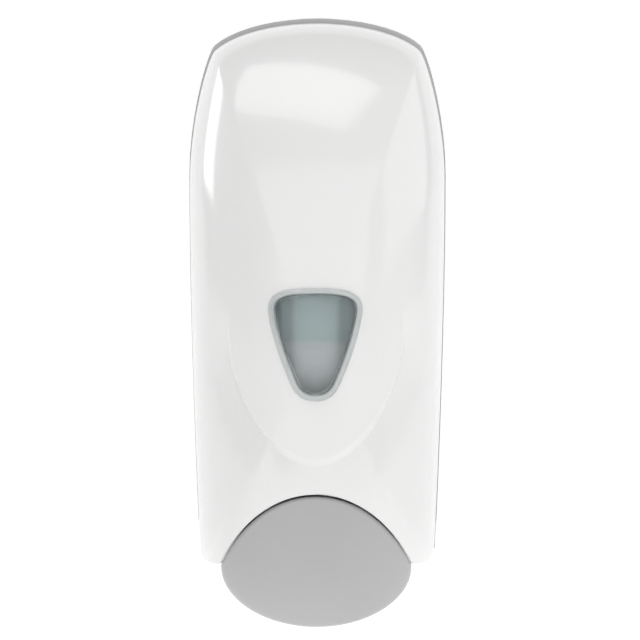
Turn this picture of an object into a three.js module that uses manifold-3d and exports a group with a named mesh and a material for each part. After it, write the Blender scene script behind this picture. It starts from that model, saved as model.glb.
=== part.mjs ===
// Wall mounted soap dispenser with a bottom-hinged cover, a refillable bottle, a lift pump and a push lever.
// Millimetres, +Z up. The wall is the plane y = 0, and the front of the dispenser faces -Y.
// The origin lies on the rear face of the back plate.

import * as THREE from 'three';
import { mergeVertices } from 'three/addons/utils/BufferGeometryUtils.js';
import { ParametricGeometry } from 'three/addons/geometries/ParametricGeometry.js';
import Module from 'manifold-3d';

const wasm = await Module();
wasm.setup();

// ---------------------------------------------------------------- driving dimensions

const overallHeight = 284;
const overallWidth = 122;
const overallDepth = 116;

const fitGap = 0.3;
const housingDepth = 26;
const plateThickness = 3;
const housingWall = 2.6;
const coverWall = 2.4;
const coverStepTop = 2;
const coverStepSide = 0.6;
const dropBelowCover = 30;
const bellyRunout = 16;
const bellyExponent = 2.6;
const crownRelief = 16;
const bellyCentreZ = -11;

const shoulderDrop = 12.7;
const shoulderInset = 12;
const widestDrop = 74;
const footInset = 4.8;
const footWidth = 11.2;
const archHeight = 34.8;
const footCornerRadius = 5;

const windowTop = 19.5;
const windowBottom = -32.5;
const windowHalfWidth = 21.7;
const windowTipRadius = 10.4;
const windowRimWidth = 2.6;
const windowRimHeight = 1.4;
const lensThickness = 2;
const windowToBottle = 10;

const leverGap = 1.2;
const leverRecess = 0.8;
const leverWall = 3;
const leverFlange = 11;
const leverTravelDeg = 14;
const pivotSetback = 30;
const pivotHeight = 39.76;
const pivotRadius = 2;
const runningGap = 0.15;
const hubRadius = 5.4;
const hubHalfLength = 22;
const hubGap = 2;
const bracketThickness = 3;

const hingeSetback = 6;
const hingeRise = 7;
const lobeRadius = 7;
const lobeThickness = 4.2;
const earThickness = 3;
const earRadius = 5.5;
const hingePinRadius = 2;

const pumpSetback = 24;
const shelfHeight = 70.7;
const shelfThickness = 3;
const shelfSideGap = 15;
const shelfPadDepth = 6;
const bottleWall = 1.6;
const bottleSideGap = 8.6;
const bottleWallGap = 4;
const bottleTopShare = 0.3137;
const bottleShoulderShare = 0.66;
const fillNeckRadius = 18.5;
const fillNeckHeight = 11;
const pumpNeckRadius = 14.6;
const pumpNeckWall = 2.2;
const pumpNeckLength = 14;
const collarRadius = 18.5;
const cylinderRadius = 10.2;
const cylinderWall = 1.6;
const cylinderRise = 20;
const cylinderDrop = 5;
const cylinderRoof = 2;
const pumpFlangeThickness = 1.6;
const collarFloor = 2;
const pistonLength = 6;
const pistonLand = 1.8;
const pistonRoof = 1.6;
const springWire = 0.6;
const portRadius = 1.5;
const valveStemRadius = 1.4;
const stemRadius = 4.5;
const stemBore = 2.2;
const flangeRadius = 16;
const flangeThickness = 2.3;
const nozzleRadius = 8;
const nozzleLength = 33;

const lockSetback = 12;
const sleeveRadius = 6;
const sleeveHeadRadius = 7.4;
const barrelRadius = 4.2;
const camReach = 12;
const camThickness = 2.2;
const camHeelRadius = 4.6;
const tongueInset = 5;
const tongueWidth = 9;
const tongueThickness = 2.5;
const sealInset = 0.2;

const screwRadius = 1.5;
const screwHeadRadius = 3.4;
const screwHeadHeight = 2;

// ---------------------------------------------------------------- derived places

const topZ = overallHeight / 2;
const lowestZ = -overallHeight / 2;
const coverBottomZ = lowestZ + dropBelowCover;
const halfWidth = overallWidth / 2;
const rimY = -(housingDepth + fitGap);
const bellyDepth = overallDepth - housingDepth - fitGap;
const frontY = -overallDepth;
const crownHeight = topZ - bellyCentreZ;

const hingeY = -(housingDepth - hingeSetback);
const hingeZ = coverBottomZ + hingeRise;
const archTopZ = coverBottomZ + archHeight;
const pivotY = frontY + pivotSetback;
const pivotZ = coverBottomZ + pivotHeight;
const pumpY = -(housingDepth + pumpSetback);

const shelfHalfWidth = halfWidth - shelfSideGap;
const shelfTopZ = coverBottomZ + shelfHeight;
const bottleFloorZ = shelfTopZ + fitGap;
const bottleTopZ = topZ - crownHeight * bottleTopShare;
const bottleFrontY = frontY + coverWall + windowToBottle;
const bottleRearY = -(plateThickness + bottleWallGap);
const neckEndZ = bottleFloorZ - pumpNeckLength;

const cylinderInner = cylinderRadius - cylinderWall;
const springRadius = cylinderInner - springWire - 0.5;
const valveRadius = springRadius - springWire - 0.6;
const portCircle = valveRadius - portRadius - 0.6;
const gasketThickness = 1.2;
const gasketTopZ = neckEndZ - fitGap;
const pumpFlangeTopZ = gasketTopZ - gasketThickness - fitGap;
const pumpFlangeBottomZ = pumpFlangeTopZ - pumpFlangeThickness;
const collarBottomZ = pumpFlangeBottomZ - fitGap - collarFloor;
const cylinderBottomZ = collarBottomZ - cylinderDrop;
const cylinderTopZ = bottleFloorZ + cylinderRise;
const capDiscBottomZ = cylinderBottomZ - fitGap - 1.3;

const leverArm = pumpY - pivotY;
const pumpStroke = leverArm * THREE.MathUtils.degToRad(leverTravelDeg);
const flangeTopZ = capDiscBottomZ - pumpStroke - 0.8;
const flangeBottomZ = flangeTopZ - flangeThickness;
const nozzleTipZ = flangeBottomZ - nozzleLength;
const pistonBottomZ = pumpFlangeBottomZ + 2.4;
const pistonTopZ = pistonBottomZ + pistonLength;

const lockY = -lockSetback;
const roofZ = topZ - 0.4;
const sleeveBottomZ = topZ - 12;
const camTopZ = sleeveBottomZ - 0.4;
const camBottomZ = camTopZ - camThickness;
const tongueTopZ = camBottomZ - 3.6;

// ---------------------------------------------------------------- solids and their tools

/** A solid from a closed three.js geometry, with its shared corners merged and its faces turned outward. */
function solidOf(geometry) {
  const bare = new THREE.BufferGeometry();
  bare.setAttribute('position', geometry.getAttribute('position'));
  bare.setIndex(geometry.getIndex());
  const merged = mergeVertices(bare, 1e-4);
  const points = merged.getAttribute('position');
  const corners = merged.getIndex().array;
  const triangles = [];
  const a = new THREE.Vector3();
  const b = new THREE.Vector3();
  const c = new THREE.Vector3();
  let volume = 0;
  for (let i = 0; i < corners.length; i += 3) {
    const [p, q, r] = [corners[i], corners[i + 1], corners[i + 2]];
    if (p === q || q === r || r === p) continue;
    triangles.push([p, q, r]);
    a.fromBufferAttribute(points, p);
    b.fromBufferAttribute(points, q);
    c.fromBufferAttribute(points, r);
    volume += a.dot(b.cross(c));
  }
  const outward = volume > 0 ? triangles : triangles.map(([p, q, r]) => [p, r, q]);
  return new wasm.Manifold(new wasm.Mesh({
    numProp: 3,
    vertProperties: new Float32Array(points.array),
    triVerts: new Uint32Array(outward.flat()),
  }));
}

/** The three.js geometry of a solid. */
function geometryOf(solid) {
  const mesh = solid.getMesh();
  const geometry = new THREE.BufferGeometry();
  geometry.setAttribute('position', new THREE.BufferAttribute(mesh.vertProperties, 3));
  geometry.setIndex(new THREE.BufferAttribute(mesh.triVerts, 1));
  geometry.computeVertexNormals();
  return geometry;
}

/** The solids joined into one. */
function join(first, ...others) {
  return others.reduce((sum, other) => sum.add(other), first);
}

/** The first solid with all the others cut from it. */
function cut(first, ...others) {
  return others.reduce((rest, other) => rest.subtract(other), first);
}

function extrusion(shape, depth, curveSegments = 12) {
  return new THREE.ExtrudeGeometry(shape, { depth, bevelEnabled: false, curveSegments });
}

/** A prism of a shape drawn in (x, y), from z0 up to z1. */
function prismZ(shape, z0, z1, segments) {
  return solidOf(extrusion(shape, z1 - z0, segments).translate(0, 0, z0));
}

/** A prism of a shape drawn in (x, z), from y0 (front) to y1 (rear). */
function prismY(shape, y0, y1, segments) {
  return solidOf(extrusion(shape, y1 - y0, segments).rotateX(Math.PI / 2).translate(0, y1, 0));
}

/** A prism of a shape drawn in (y, z), from x0 to x1. */
function prismX(shape, x0, x1, segments) {
  const turn = new THREE.Matrix4().makeBasis(
    new THREE.Vector3(0, 1, 0),
    new THREE.Vector3(0, 0, 1),
    new THREE.Vector3(1, 0, 0),
  );
  return solidOf(extrusion(shape, x1 - x0, segments).applyMatrix4(turn).translate(x0, 0, 0));
}

/** A shape with straight sides through the given points. */
function polygon(...points) {
  return new THREE.Shape(points.map(([u, v]) => new THREE.Vector2(u, v)));
}

function rectangle(u0, u1, v0, v1) {
  return polygon([u0, v0], [u1, v0], [u1, v1], [u0, v1]);
}

function disc(u, v, radius) {
  return new THREE.Shape().absarc(u, v, radius, 0, Math.PI * 2);
}

/** A box between two corners. */
function block(x0, x1, y0, y1, z0, z1) {
  const box = new THREE.BoxGeometry(x1 - x0, y1 - y0, z1 - z0);
  return solidOf(box.translate((x0 + x1) / 2, (y0 + y1) / 2, (z0 + z1) / 2));
}

function rod(radius, length, segments = 20) {
  return new THREE.CylinderGeometry(radius, radius, length, segments);
}

/** A round bar along X, Y or Z between two ends, through the other two coordinates. */
function barX(radius, x0, x1, y, z, segments) {
  return solidOf(rod(radius, x1 - x0, segments).rotateZ(Math.PI / 2).translate((x0 + x1) / 2, y, z));
}

function barY(radius, y0, y1, x, z, segments) {
  return solidOf(rod(radius, y1 - y0, segments).translate(x, (y0 + y1) / 2, z));
}

function barZ(radius, z0, z1, x, y, segments) {
  return solidOf(rod(radius, z1 - z0, segments).rotateX(Math.PI / 2).translate(x, y, (z0 + z1) / 2));
}

/** A turned piece about a vertical axis through (x, y). The profile lists [radius, z] and closes itself. */
function turnedZ(profile, x, y, segments = 22) {
  const points = [...profile, profile[0]].map(([radius, z]) => new THREE.Vector2(radius, z));
  return solidOf(new THREE.LatheGeometry(points, segments).rotateX(Math.PI / 2).translate(x, y, 0));
}

/** A hollow turned piece between two radii and two heights. */
function tubeZ(inner, outer, z0, z1, x, y, segments) {
  return turnedZ([[inner, z0], [outer, z0], [outer, z1], [inner, z1]], x, y, segments);
}

/** A round outline with evenly spaced flutes. */
function flutedShape(x, y, radius, depth, count) {
  const shape = new THREE.Shape();
  const steps = count * 4;
  for (let i = 0; i < steps; i += 1) {
    const angle = (i / steps) * Math.PI * 2;
    const r = radius - depth * (0.5 - 0.5 * Math.cos(angle * count));
    shape[i === 0 ? 'moveTo' : 'lineTo'](x + r * Math.cos(angle), y + r * Math.sin(angle));
  }
  return shape;
}

// ---------------------------------------------------------------- outlines seen from the front

const outlineSteps = 9;

/** Points of a mirrored outline, from its right half given as a list of curves from the top down. */
function mirrored(curves, steps) {
  const half = curves.flatMap((curve, i) => curve.getPoints(steps).slice(i === 0 ? 0 : 1));
  const left = half.filter((p) => p.x > 1e-6).reverse().map((p) => new THREE.Vector2(-p.x, p.y));
  return [...half, ...left];
}

function bezier(...pairs) {
  return new THREE.CubicBezierCurve(...pairs.map(([u, v]) => new THREE.Vector2(u, v)));
}

/** The right half of the dispenser's outline down to its foot: crown, shoulder and side. */
function bodyCurves(top, side) {
  const shoulderX = side - shoulderInset;
  const shoulderZ = top - shoulderDrop;
  const widestZ = top - widestDrop;
  const footX = side - footInset;
  return [
    bezier([0, top], [shoulderX * 0.45, top], [shoulderX * 0.837, top - 5.5], [shoulderX, shoulderZ]),
    bezier([shoulderX, shoulderZ], [shoulderX + 3.2, shoulderZ - 2.9], [side, top - 46], [side, widestZ]),
    bezier([side, widestZ], [side, widestZ - 58], [side - 2.4, coverBottomZ + 52], [footX, coverBottomZ]),
  ];
}

/** The housing's outline, with a flat foot. */
function housingOutline() {
  return mirrored(bodyCurves(topZ, halfWidth), outlineSteps).reverse();
}

/** The cover's rim, carried on below the foot into the round belly that the lever continues. */
function bellyOutline() {
  const side = halfWidth - coverStepSide;
  const footX = side - footInset;
  const belly = bezier(
    [footX, coverBottomZ],
    [footX - 0.6, coverBottomZ - 23],
    [footX * 0.57, lowestZ - bellyRunout],
    [0, lowestZ - bellyRunout],
  );
  return mirrored([...bodyCurves(topZ - coverStepTop, side), belly], outlineSteps).reverse();
}

/** The outline moved inward by a distance, with mitred corners. The points run anticlockwise. */
function inset(points, distance) {
  const count = points.length;
  return points.map((point, i) => {
    const before = points[(i + count - 1) % count];
    const after = points[(i + 1) % count];
    const into = new THREE.Vector2().subVectors(point, before).normalize();
    const out = new THREE.Vector2().subVectors(after, point).normalize();
    const normal = new THREE.Vector2(-into.y - out.y, into.x + out.x).normalize();
    const stretch = Math.max(0.3, normal.x * -into.y + normal.y * into.x);
    return point.clone().addScaledVector(normal, distance / stretch);
  });
}

/** The shield outline of the window, moved inward by a distance. */
function windowOutline(distance) {
  const cornerZ = windowTop - 10;
  const tipZ = windowBottom + windowTipRadius * 0.58;
  const curves = [
    bezier([0, windowTop], [windowHalfWidth * 0.5, windowTop], [windowHalfWidth * 0.68, windowTop - 1],
      [windowHalfWidth * 0.78, windowTop - 2.2]),
    bezier([windowHalfWidth * 0.78, windowTop - 2.2], [windowHalfWidth * 0.93, windowTop - 4],
      [windowHalfWidth, windowTop - 6], [windowHalfWidth, cornerZ]),
    bezier([windowHalfWidth, cornerZ], [windowHalfWidth - 1, cornerZ - 11],
      [windowTipRadius + 4.2, tipZ + 9], [windowTipRadius, tipZ]),
    bezier([windowTipRadius, tipZ], [windowTipRadius - 2.6, windowBottom + 1.8],
      [4.6, windowBottom], [0, windowBottom]),
  ];
  return inset(mirrored(curves, 4).reverse(), distance);
}

/** The lever's lens outline: an arch above, a fuller half oval below. */
function leverOutline(distance) {
  const reach = halfWidth - coverStepSide - footInset - footWidth;
  const curves = [
    bezier(
      [0, archTopZ],
      [reach * 0.52, archTopZ],
      [reach * 0.86, coverBottomZ + 15],
      [reach, coverBottomZ],
    ),
    bezier([reach, coverBottomZ], [reach + 1.4, coverBottomZ - 17], [reach * 0.56, lowestZ], [0, lowestZ]),
  ];
  return inset(mirrored(curves, outlineSteps).reverse(), distance);
}

// ---------------------------------------------------------------- the belly of cover, window and lever

/** A lookup of an outline's distance from the belly's centre in any direction. */
function polarReach(points) {
  const samples = points
    .map((p) => [Math.atan2(p.y - bellyCentreZ, p.x), Math.hypot(p.x, p.y - bellyCentreZ)])
    .sort((first, second) => first[0] - second[0]);
  const wrapped = [
    [samples.at(-1)[0] - Math.PI * 2, samples.at(-1)[1]],
    ...samples,
    [samples[0][0] + Math.PI * 2, samples[0][1]],
  ];
  return (angle) => {
    const turn = Math.atan2(Math.sin(angle), Math.cos(angle));
    const k = wrapped.findIndex((sample) => sample[0] >= turn);
    const [a0, r0] = wrapped[Math.max(k - 1, 0)];
    const [a1, r1] = wrapped[Math.max(k, 1)];
    return r0 + ((r1 - r0) * (turn - a0)) / (a1 - a0);
  };
}

/** The belly's depth grows less towards the crown, where the cover leans back to the wall. */
function depthAt(z) {
  const climb = Math.max(0, (z - bellyCentreZ) / (topZ - bellyCentreZ));
  return bellyDepth - crownRelief * climb * climb;
}

/** How far the belly rises at a share of the way from its centre to its rim. */
function bellyRise(share) {
  return (1 - Math.min(1, share) ** bellyExponent) ** (1 / bellyExponent);
}

/**
 * The solid between the belly, moved inward by a distance, and a flat rear plane.
 * Along each direction from the centre, depth and reach follow a superellipse.
 */
function bellySolid(distance, rearY = rimY, rings = 10) {
  const rim = inset(bellyOutline(), distance);
  const slices = rim.length;
  return solidOf(new ParametricGeometry((u, v, target) => {
    const end = rim[Math.round(u * slices) % slices];
    const ring = Math.round(v * rings);
    const share = ring === rings ? 0 : Math.sin((ring / (rings - 1)) * (Math.PI / 2)) ** (2 / bellyExponent);
    const z = bellyCentreZ + share * (end.y - bellyCentreZ);
    const rise = ring >= rings - 1 ? 0 : bellyRise(share);
    target.set(share * end.x, rearY - rise * (depthAt(z) - distance + rearY - rimY), z);
  }, slices, rings));
}

const bellyReach = polarReach(bellyOutline());

/** The belly's y at a place seen from the front. */
function bellyY(x, z) {
  const dz = z - bellyCentreZ;
  return rimY - depthAt(z) * bellyRise(Math.hypot(x, dz) / bellyReach(Math.atan2(dz, x)));
}

/**
 * A closed solid that follows the belly inside an outline. Each ring of its section is a point list
 * [outline, share, depth]: the outline shrunk about a centre to a share, at a depth behind the belly.
 */
function bellyPlate(centreZ, rings) {
  const slices = rings[0][0].length;
  return solidOf(new ParametricGeometry((u, v, target) => {
    const [outline, share, depth] = rings[Math.round(v * (rings.length - 1))];
    const end = outline[Math.round(u * slices) % slices];
    const x = share * end.x;
    const z = centreZ + share * (end.y - centreZ);
    target.set(x, bellyY(x, z) + depth, z);
  }, slices, rings.length - 1));
}

/** Even shares from one value to another, ends included. */
function shares(from, to, steps) {
  return Array.from({ length: steps + 1 }, (_, i) => from + ((to - from) * i) / steps);
}

const outlineShape = (points) => new THREE.Shape(points);
const farFrontY = frontY - 10;

/** The half-width of the housing's outline at a height. */
function sideAt(z) {
  const points = housingOutline().filter((p) => p.x > 0);
  const near = points.reduce((best, p) => (Math.abs(p.y - z) < Math.abs(best.y - z) ? p : best));
  return near.x;
}

const lobeOuter = sideAt(hingeZ) - coverStepSide;
const lobeInner = lobeOuter - lobeThickness;
const earOuter = lobeInner - fitGap;
const earInner = earOuter - earThickness;

// ---------------------------------------------------------------- housing

const wallHoleX = halfWidth - 31;
const wallHoleTopZ = topZ - 50;
const wallHoleLowZ = coverBottomZ + 26;
const wallHoleRadius = 2.4;
const keyholeRadius = 4.8;
const keyholeRise = 9;
const ribX = 18;
const ribDepth = 2;
const shelfBossX = shelfHalfWidth - 12;
const shelfBossZ = shelfTopZ - 12;
const shelfBossRadius = 4.6;

function hingeEar(side) {
  const ear = join(
    block(earInner, earOuter, hingeY, -1, hingeZ - earRadius, hingeZ + earRadius),
    barX(earRadius, earInner, earOuter, hingeY, hingeZ),
  );
  const bored = cut(ear, barX(hingePinRadius + runningGap, earInner - 1, earOuter + 1, hingeY, hingeZ));
  return side > 0 ? bored : bored.mirror([1, 0, 0]);
}

/** The room that each hinge lobe of the cover turns in. */
function hingeRoom(side) {
  const clear = lobeRadius + 0.6;
  const room = join(
    block(earOuter + fitGap / 3, halfWidth + 5, -housingDepth - 5, hingeY + clear, coverBottomZ - 5, hingeZ),
    barX(clear, earOuter + fitGap / 3, halfWidth + 5, hingeY, hingeZ, 40),
    block(earOuter + fitGap / 3, halfWidth + 5, -housingDepth - 5, hingeY, coverBottomZ - 5, hingeZ + clear),
  );
  return side > 0 ? room : room.mirror([1, 0, 0]);
}

function keyhole(x) {
  return join(
    barY(keyholeRadius, -plateThickness - 1, 1, x, wallHoleTopZ),
    block(
      x - wallHoleRadius, x + wallHoleRadius,
      -plateThickness - 1, 1,
      wallHoleTopZ, wallHoleTopZ + keyholeRise,
    ),
    barY(wallHoleRadius, -plateThickness - 1, 1, x, wallHoleTopZ + keyholeRise),
  );
}

function makeBackPlate() {
  const outline = housingOutline();
  const shell = cut(
    prismY(outlineShape(outline), -housingDepth, 0),
    prismY(outlineShape(inset(outline, housingWall)), -housingDepth - 1, -plateThickness),
  );
  const sides = [-1, 1];
  const ribs = sides.map((s) => block(s * ribX - 1, s * ribX + 1, -plateThickness - ribDepth, -1,
    shelfTopZ + 10, topZ - 40));
  const bosses = sides.map((s) => barY(shelfBossRadius, -plateThickness - shelfPadDepth, -1, s * shelfBossX,
    shelfBossZ));
  const bossHoles = sides.map((s) => barY(screwRadius + fitGap, -plateThickness - shelfPadDepth - 1, -1.2,
    s * shelfBossX, shelfBossZ));
  return cut(
    join(cut(shell, hingeRoom(1), hingeRoom(-1)), hingeEar(1), hingeEar(-1), ...ribs, ...bosses),
    keyhole(wallHoleX),
    keyhole(-wallHoleX),
    barY(wallHoleRadius, -plateThickness - 1, 1, wallHoleX, wallHoleLowZ),
    barY(wallHoleRadius, -plateThickness - 1, 1, -wallHoleX, wallHoleLowZ),
    barZ(sleeveRadius + fitGap, sleeveBottomZ, topZ + 1, 0, lockY),
    barZ(sleeveHeadRadius + fitGap, roofZ - 1.4, topZ + 1, 0, lockY),
    ...bossHoles,
  );
}

/** A pan head screw along -Y, with its head's underside at a given y and a cross recess. */
function makeScrewY(x, seatY, z, length, towards) {
  const head = barY(screwHeadRadius, seatY, seatY + screwHeadHeight, x, z);
  const recessY = towards > 0 ? seatY + screwHeadHeight / 2 : seatY;
  const recess = join(
    block(x - 2, x + 2, recessY, recessY + screwHeadHeight / 2, z - 0.4, z + 0.4),
    block(x - 0.4, x + 0.4, recessY, recessY + screwHeadHeight / 2, z - 2, z + 2),
  );
  const shank = towards > 0
    ? barY(screwRadius, seatY - length, seatY + 0.2, x, z, 16)
    : barY(screwRadius, seatY + screwHeadHeight - 0.2, seatY + screwHeadHeight + length, x, z, 16);
  return join(cut(head, recess), shank);
}

function makeHingePin(side) {
  const pin = join(
    barX(hingePinRadius, earInner - 0.8, lobeOuter - 0.4, hingeY, hingeZ),
    barX(hingePinRadius + 1.4, earInner - 1.8, earInner - fitGap, hingeY, hingeZ),
  );
  return side > 0 ? pin : pin.mirror([1, 0, 0]);
}

const shelfPadY = -plateThickness - shelfPadDepth - fitGap;
const shelfFlangeDrop = 18;
const shelfFlangeThickness = 2.6;
const shelfScrewLength = 7;

function makeShelf() {
  const rearY = shelfPadY;
  const frontEdge = bottleFrontY + 22;
  const shape = new THREE.Shape();
  shape.moveTo(-shelfHalfWidth, rearY);
  shape.lineTo(shelfHalfWidth, rearY);
  shape.lineTo(shelfHalfWidth, pumpY);
  shape.quadraticCurveTo(shelfHalfWidth - 4, frontEdge, pumpNeckRadius + 12, frontEdge);
  shape.lineTo(-pumpNeckRadius - 12, frontEdge);
  shape.quadraticCurveTo(4 - shelfHalfWidth, frontEdge, -shelfHalfWidth, pumpY);
  const slotHalf = pumpNeckRadius + fitGap * 2;
  const slot = join(
    barZ(slotHalf, shelfTopZ - shelfThickness - 1, shelfTopZ + 1, 0, pumpY, 32),
    block(-slotHalf, slotHalf, frontEdge - 1, pumpY, shelfTopZ - shelfThickness - 1, shelfTopZ + 1),
  );
  const flange = block(
    -shelfHalfWidth, shelfHalfWidth,
    rearY - shelfFlangeThickness, rearY,
    shelfTopZ - shelfFlangeDrop, shelfTopZ,
  );
  const gussetShape = polygon(
    [rearY - 1, shelfTopZ - 1],
    [rearY - 1, shelfTopZ - shelfFlangeDrop],
    [pumpY, shelfTopZ - shelfThickness],
    [pumpY, shelfTopZ - 1],
  );
  const gussetX = shelfHalfWidth - 1.2;
  const gussets = [-1, 1].map((s) => prismX(gussetShape, s * gussetX - 1.2, s * gussetX + 1.2));
  const holes = [-1, 1].map((s) => (
    barY(screwRadius + fitGap, rearY - 4, rearY + 1, s * shelfBossX, shelfBossZ)
  ));
  return cut(
    join(prismZ(shape, shelfTopZ - shelfThickness, shelfTopZ), flange, ...gussets),
    slot,
    ...holes,
  );
}

/** A screw that holds the shelf's flange to its boss on the back plate. */
function makeShelfScrew(side) {
  const seatY = shelfPadY - shelfFlangeThickness - fitGap - screwHeadHeight;
  return makeScrewY(side * shelfBossX, seatY, shelfBossZ, shelfScrewLength, -1);
}

// ---------------------------------------------------------------- reservoir and pump

/** How far back the bottle's curved front corners reach, in keeping with the belly's depth. */
const bend = bellyDepth * 0.25;

/** The bottle's section seen from above, moved inward by its wall when hollowed. */
function bottlePlan(wall) {
  const side = halfWidth - coverStepSide - bottleSideGap - wall;
  const rear = bottleRearY - wall;
  const front = bottleFrontY + wall;
  const shape = new THREE.Shape();
  shape.moveTo(side - 8, rear);
  shape.quadraticCurveTo(side, rear, side, rear - 8);
  shape.lineTo(side, front + bend * 2.15);
  shape.bezierCurveTo(side, front + bend, side * 0.575, front, 0, front);
  shape.bezierCurveTo(side * -0.575, front, -side, front + bend, -side, front + bend * 2.15);
  shape.lineTo(-side, rear - 8);
  shape.quadraticCurveTo(-side, rear, 8 - side, rear);
  return shape;
}

/** The bottle's section seen from the side: upright in front, leaning back under the cover's crown. */
function bottleSide(wall) {
  const floor = bottleFloorZ + wall;
  const top = bottleTopZ - wall;
  const front = bottleFrontY + wall;
  const shape = new THREE.Shape();
  shape.moveTo(bottleRearY + 1, floor);
  shape.lineTo(bottleRearY + 1, top);
  const lean = crownHeight * 0.24;
  shape.lineTo(front + bend * 1.6, top);
  shape.bezierCurveTo(front + bend, top, front + 2, top - lean, front, top - lean * 2);
  shape.lineTo(front, floor + 24);
  shape.quadraticCurveTo(front, floor, front + 24, floor);
  return shape;
}

/** The bottle's outline seen from the front, with wide shoulders under the cover's crown. */
function bottleFace(wall) {
  const side = halfWidth - coverStepSide - bottleSideGap - wall;
  const top = bottleTopZ - wall;
  const floor = bottleFloorZ + wall;
  const shoulder = side * bottleShoulderShare;
  const crownX = side - shoulder + 6;
  const shape = new THREE.Shape();
  shape.moveTo(side - 8, floor);
  shape.quadraticCurveTo(side, floor, side, floor + 8);
  shape.lineTo(side, top - shoulder);
  shape.bezierCurveTo(side, top - shoulder * 0.4, side - shoulder / 3, top, crownX, top);
  shape.lineTo(-crownX, top);
  shape.bezierCurveTo(shoulder / 3 - side, top, -side, top - shoulder * 0.4, -side, top - shoulder);
  shape.lineTo(-side, floor + 8);
  shape.quadraticCurveTo(-side, floor, 8 - side, floor);
  return shape;
}

function makeBottle() {
  const body = (wall) => prismZ(bottlePlan(wall), bottleFloorZ - 1, bottleTopZ + 1, 6)
    .intersect(prismX(bottleSide(wall), -halfWidth, halfWidth, 6))
    .intersect(prismY(bottleFace(wall), bottleFrontY - 5, bottleRearY + 5, 5));
  const outer = join(
    body(0),
    barZ(fillNeckRadius, bottleTopZ - 4, bottleTopZ + fillNeckHeight, 0, pumpY, 36),
    barZ(pumpNeckRadius, neckEndZ, bottleFloorZ + 4, 0, pumpY, 32),
  );
  return cut(
    outer,
    body(bottleWall),
    barZ(fillNeckRadius - pumpNeckWall, bottleTopZ - 5, bottleTopZ + fillNeckHeight + 1, 0, pumpY, 36),
    barZ(pumpNeckRadius - pumpNeckWall, neckEndZ - 1, bottleFloorZ + 5, 0, pumpY, 32),
  );
}

const capBottomZ = bottleTopZ + 3;
const capInnerTopZ = bottleTopZ + fillNeckHeight + 2.2;
const capTopZ = capInnerTopZ + 2.2;
const capRadius = fillNeckRadius + 3.6;

function makeFillCap() {
  return cut(
    prismZ(flutedShape(0, pumpY, capRadius, 0.7, 24), capBottomZ, capTopZ),
    barZ(fillNeckRadius + fitGap * 2, capBottomZ - 1, capInnerTopZ, 0, pumpY, 36),
  );
}

function makeCapSeal() {
  const sealBottomZ = bottleTopZ + fillNeckHeight + fitGap;
  return barZ(fillNeckRadius - sealInset, sealBottomZ, capInnerTopZ - fitGap, 0, pumpY, 36);
}

function makeCollar() {
  const topOfCollar = shelfTopZ - shelfThickness - 0.6;
  return cut(
    prismZ(flutedShape(0, pumpY, collarRadius, 0.6, 18), collarBottomZ, topOfCollar),
    barZ(pumpNeckRadius + fitGap, collarBottomZ + collarFloor, topOfCollar + 1, 0, pumpY, 32),
    barZ(cylinderRadius + 1.8, collarBottomZ - 1, collarBottomZ + 3, 0, pumpY, 32),
  );
}

function makeGasket() {
  const outer = pumpNeckRadius - sealInset;
  return tubeZ(cylinderRadius + fitGap, outer, gasketTopZ - gasketThickness, gasketTopZ, 0, pumpY);
}


function makeCylinder() {
  const body = join(
    barZ(cylinderRadius, cylinderBottomZ, cylinderTopZ, 0, pumpY, 32),
    barZ(pumpNeckRadius - sealInset, pumpFlangeBottomZ, pumpFlangeTopZ, 0, pumpY, 32),
  );
  const ports = [0, 1, 2, 3].map((i) => {
    const angle = (i * Math.PI) / 2;
    const x = portCircle * Math.cos(angle);
    return barZ(portRadius, cylinderTopZ - 4, cylinderTopZ + 1, x, pumpY + portCircle * Math.sin(angle), 16);
  });
  return cut(
    body,
    barZ(cylinderInner, cylinderBottomZ - 1, cylinderTopZ - cylinderRoof, 0, pumpY, 32),
    barZ(valveStemRadius + fitGap, cylinderTopZ - 4, cylinderTopZ + 1, 0, pumpY, 16),
    ...ports,
  );
}

function makeInletValve() {
  const seat = cylinderTopZ - cylinderRoof - fitGap;
  return turnedZ([
    [0, seat - 1.4], [2.4, seat - 1.2], [valveRadius, seat - 0.5],
    [valveRadius, seat], [valveStemRadius, seat], [valveStemRadius, cylinderTopZ + fitGap],
    [valveStemRadius + 0.9, cylinderTopZ + fitGap], [0, cylinderTopZ + 2.6],
  ], 0, pumpY, 20);
}

function makeCylinderCap() {
  const skirt = cylinderRadius + fitGap;
  return turnedZ([
    [stemRadius + fitGap, capDiscBottomZ], [skirt + 1.4, capDiscBottomZ],
    [skirt + 1.4, collarBottomZ - 0.6], [skirt, collarBottomZ - 0.6],
    [skirt, cylinderBottomZ - fitGap], [stemRadius + fitGap, cylinderBottomZ - fitGap],
  ], 0, pumpY);
}

const springTurns = 6;

class SpringCurve extends THREE.Curve {
  getPoint(t, target = new THREE.Vector3()) {
    const bottom = pistonTopZ + fitGap + springWire;
    const top = cylinderTopZ - cylinderRoof - fitGap - springWire;
    const angle = t * springTurns * Math.PI * 2;
    return target.set(
      springRadius * Math.cos(angle),
      pumpY + springRadius * Math.sin(angle),
      bottom + (top - bottom) * t,
    );
  }
}

function makeSpring() {
  const wire = new THREE.Shape().absarc(0, 0, springWire, 0, Math.PI * 2);
  return solidOf(new THREE.ExtrudeGeometry(wire, {
    steps: springTurns * 10,
    curveSegments: 3,
    bevelEnabled: false,
    extrudePath: new SpringCurve(),
  }));
}

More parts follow.
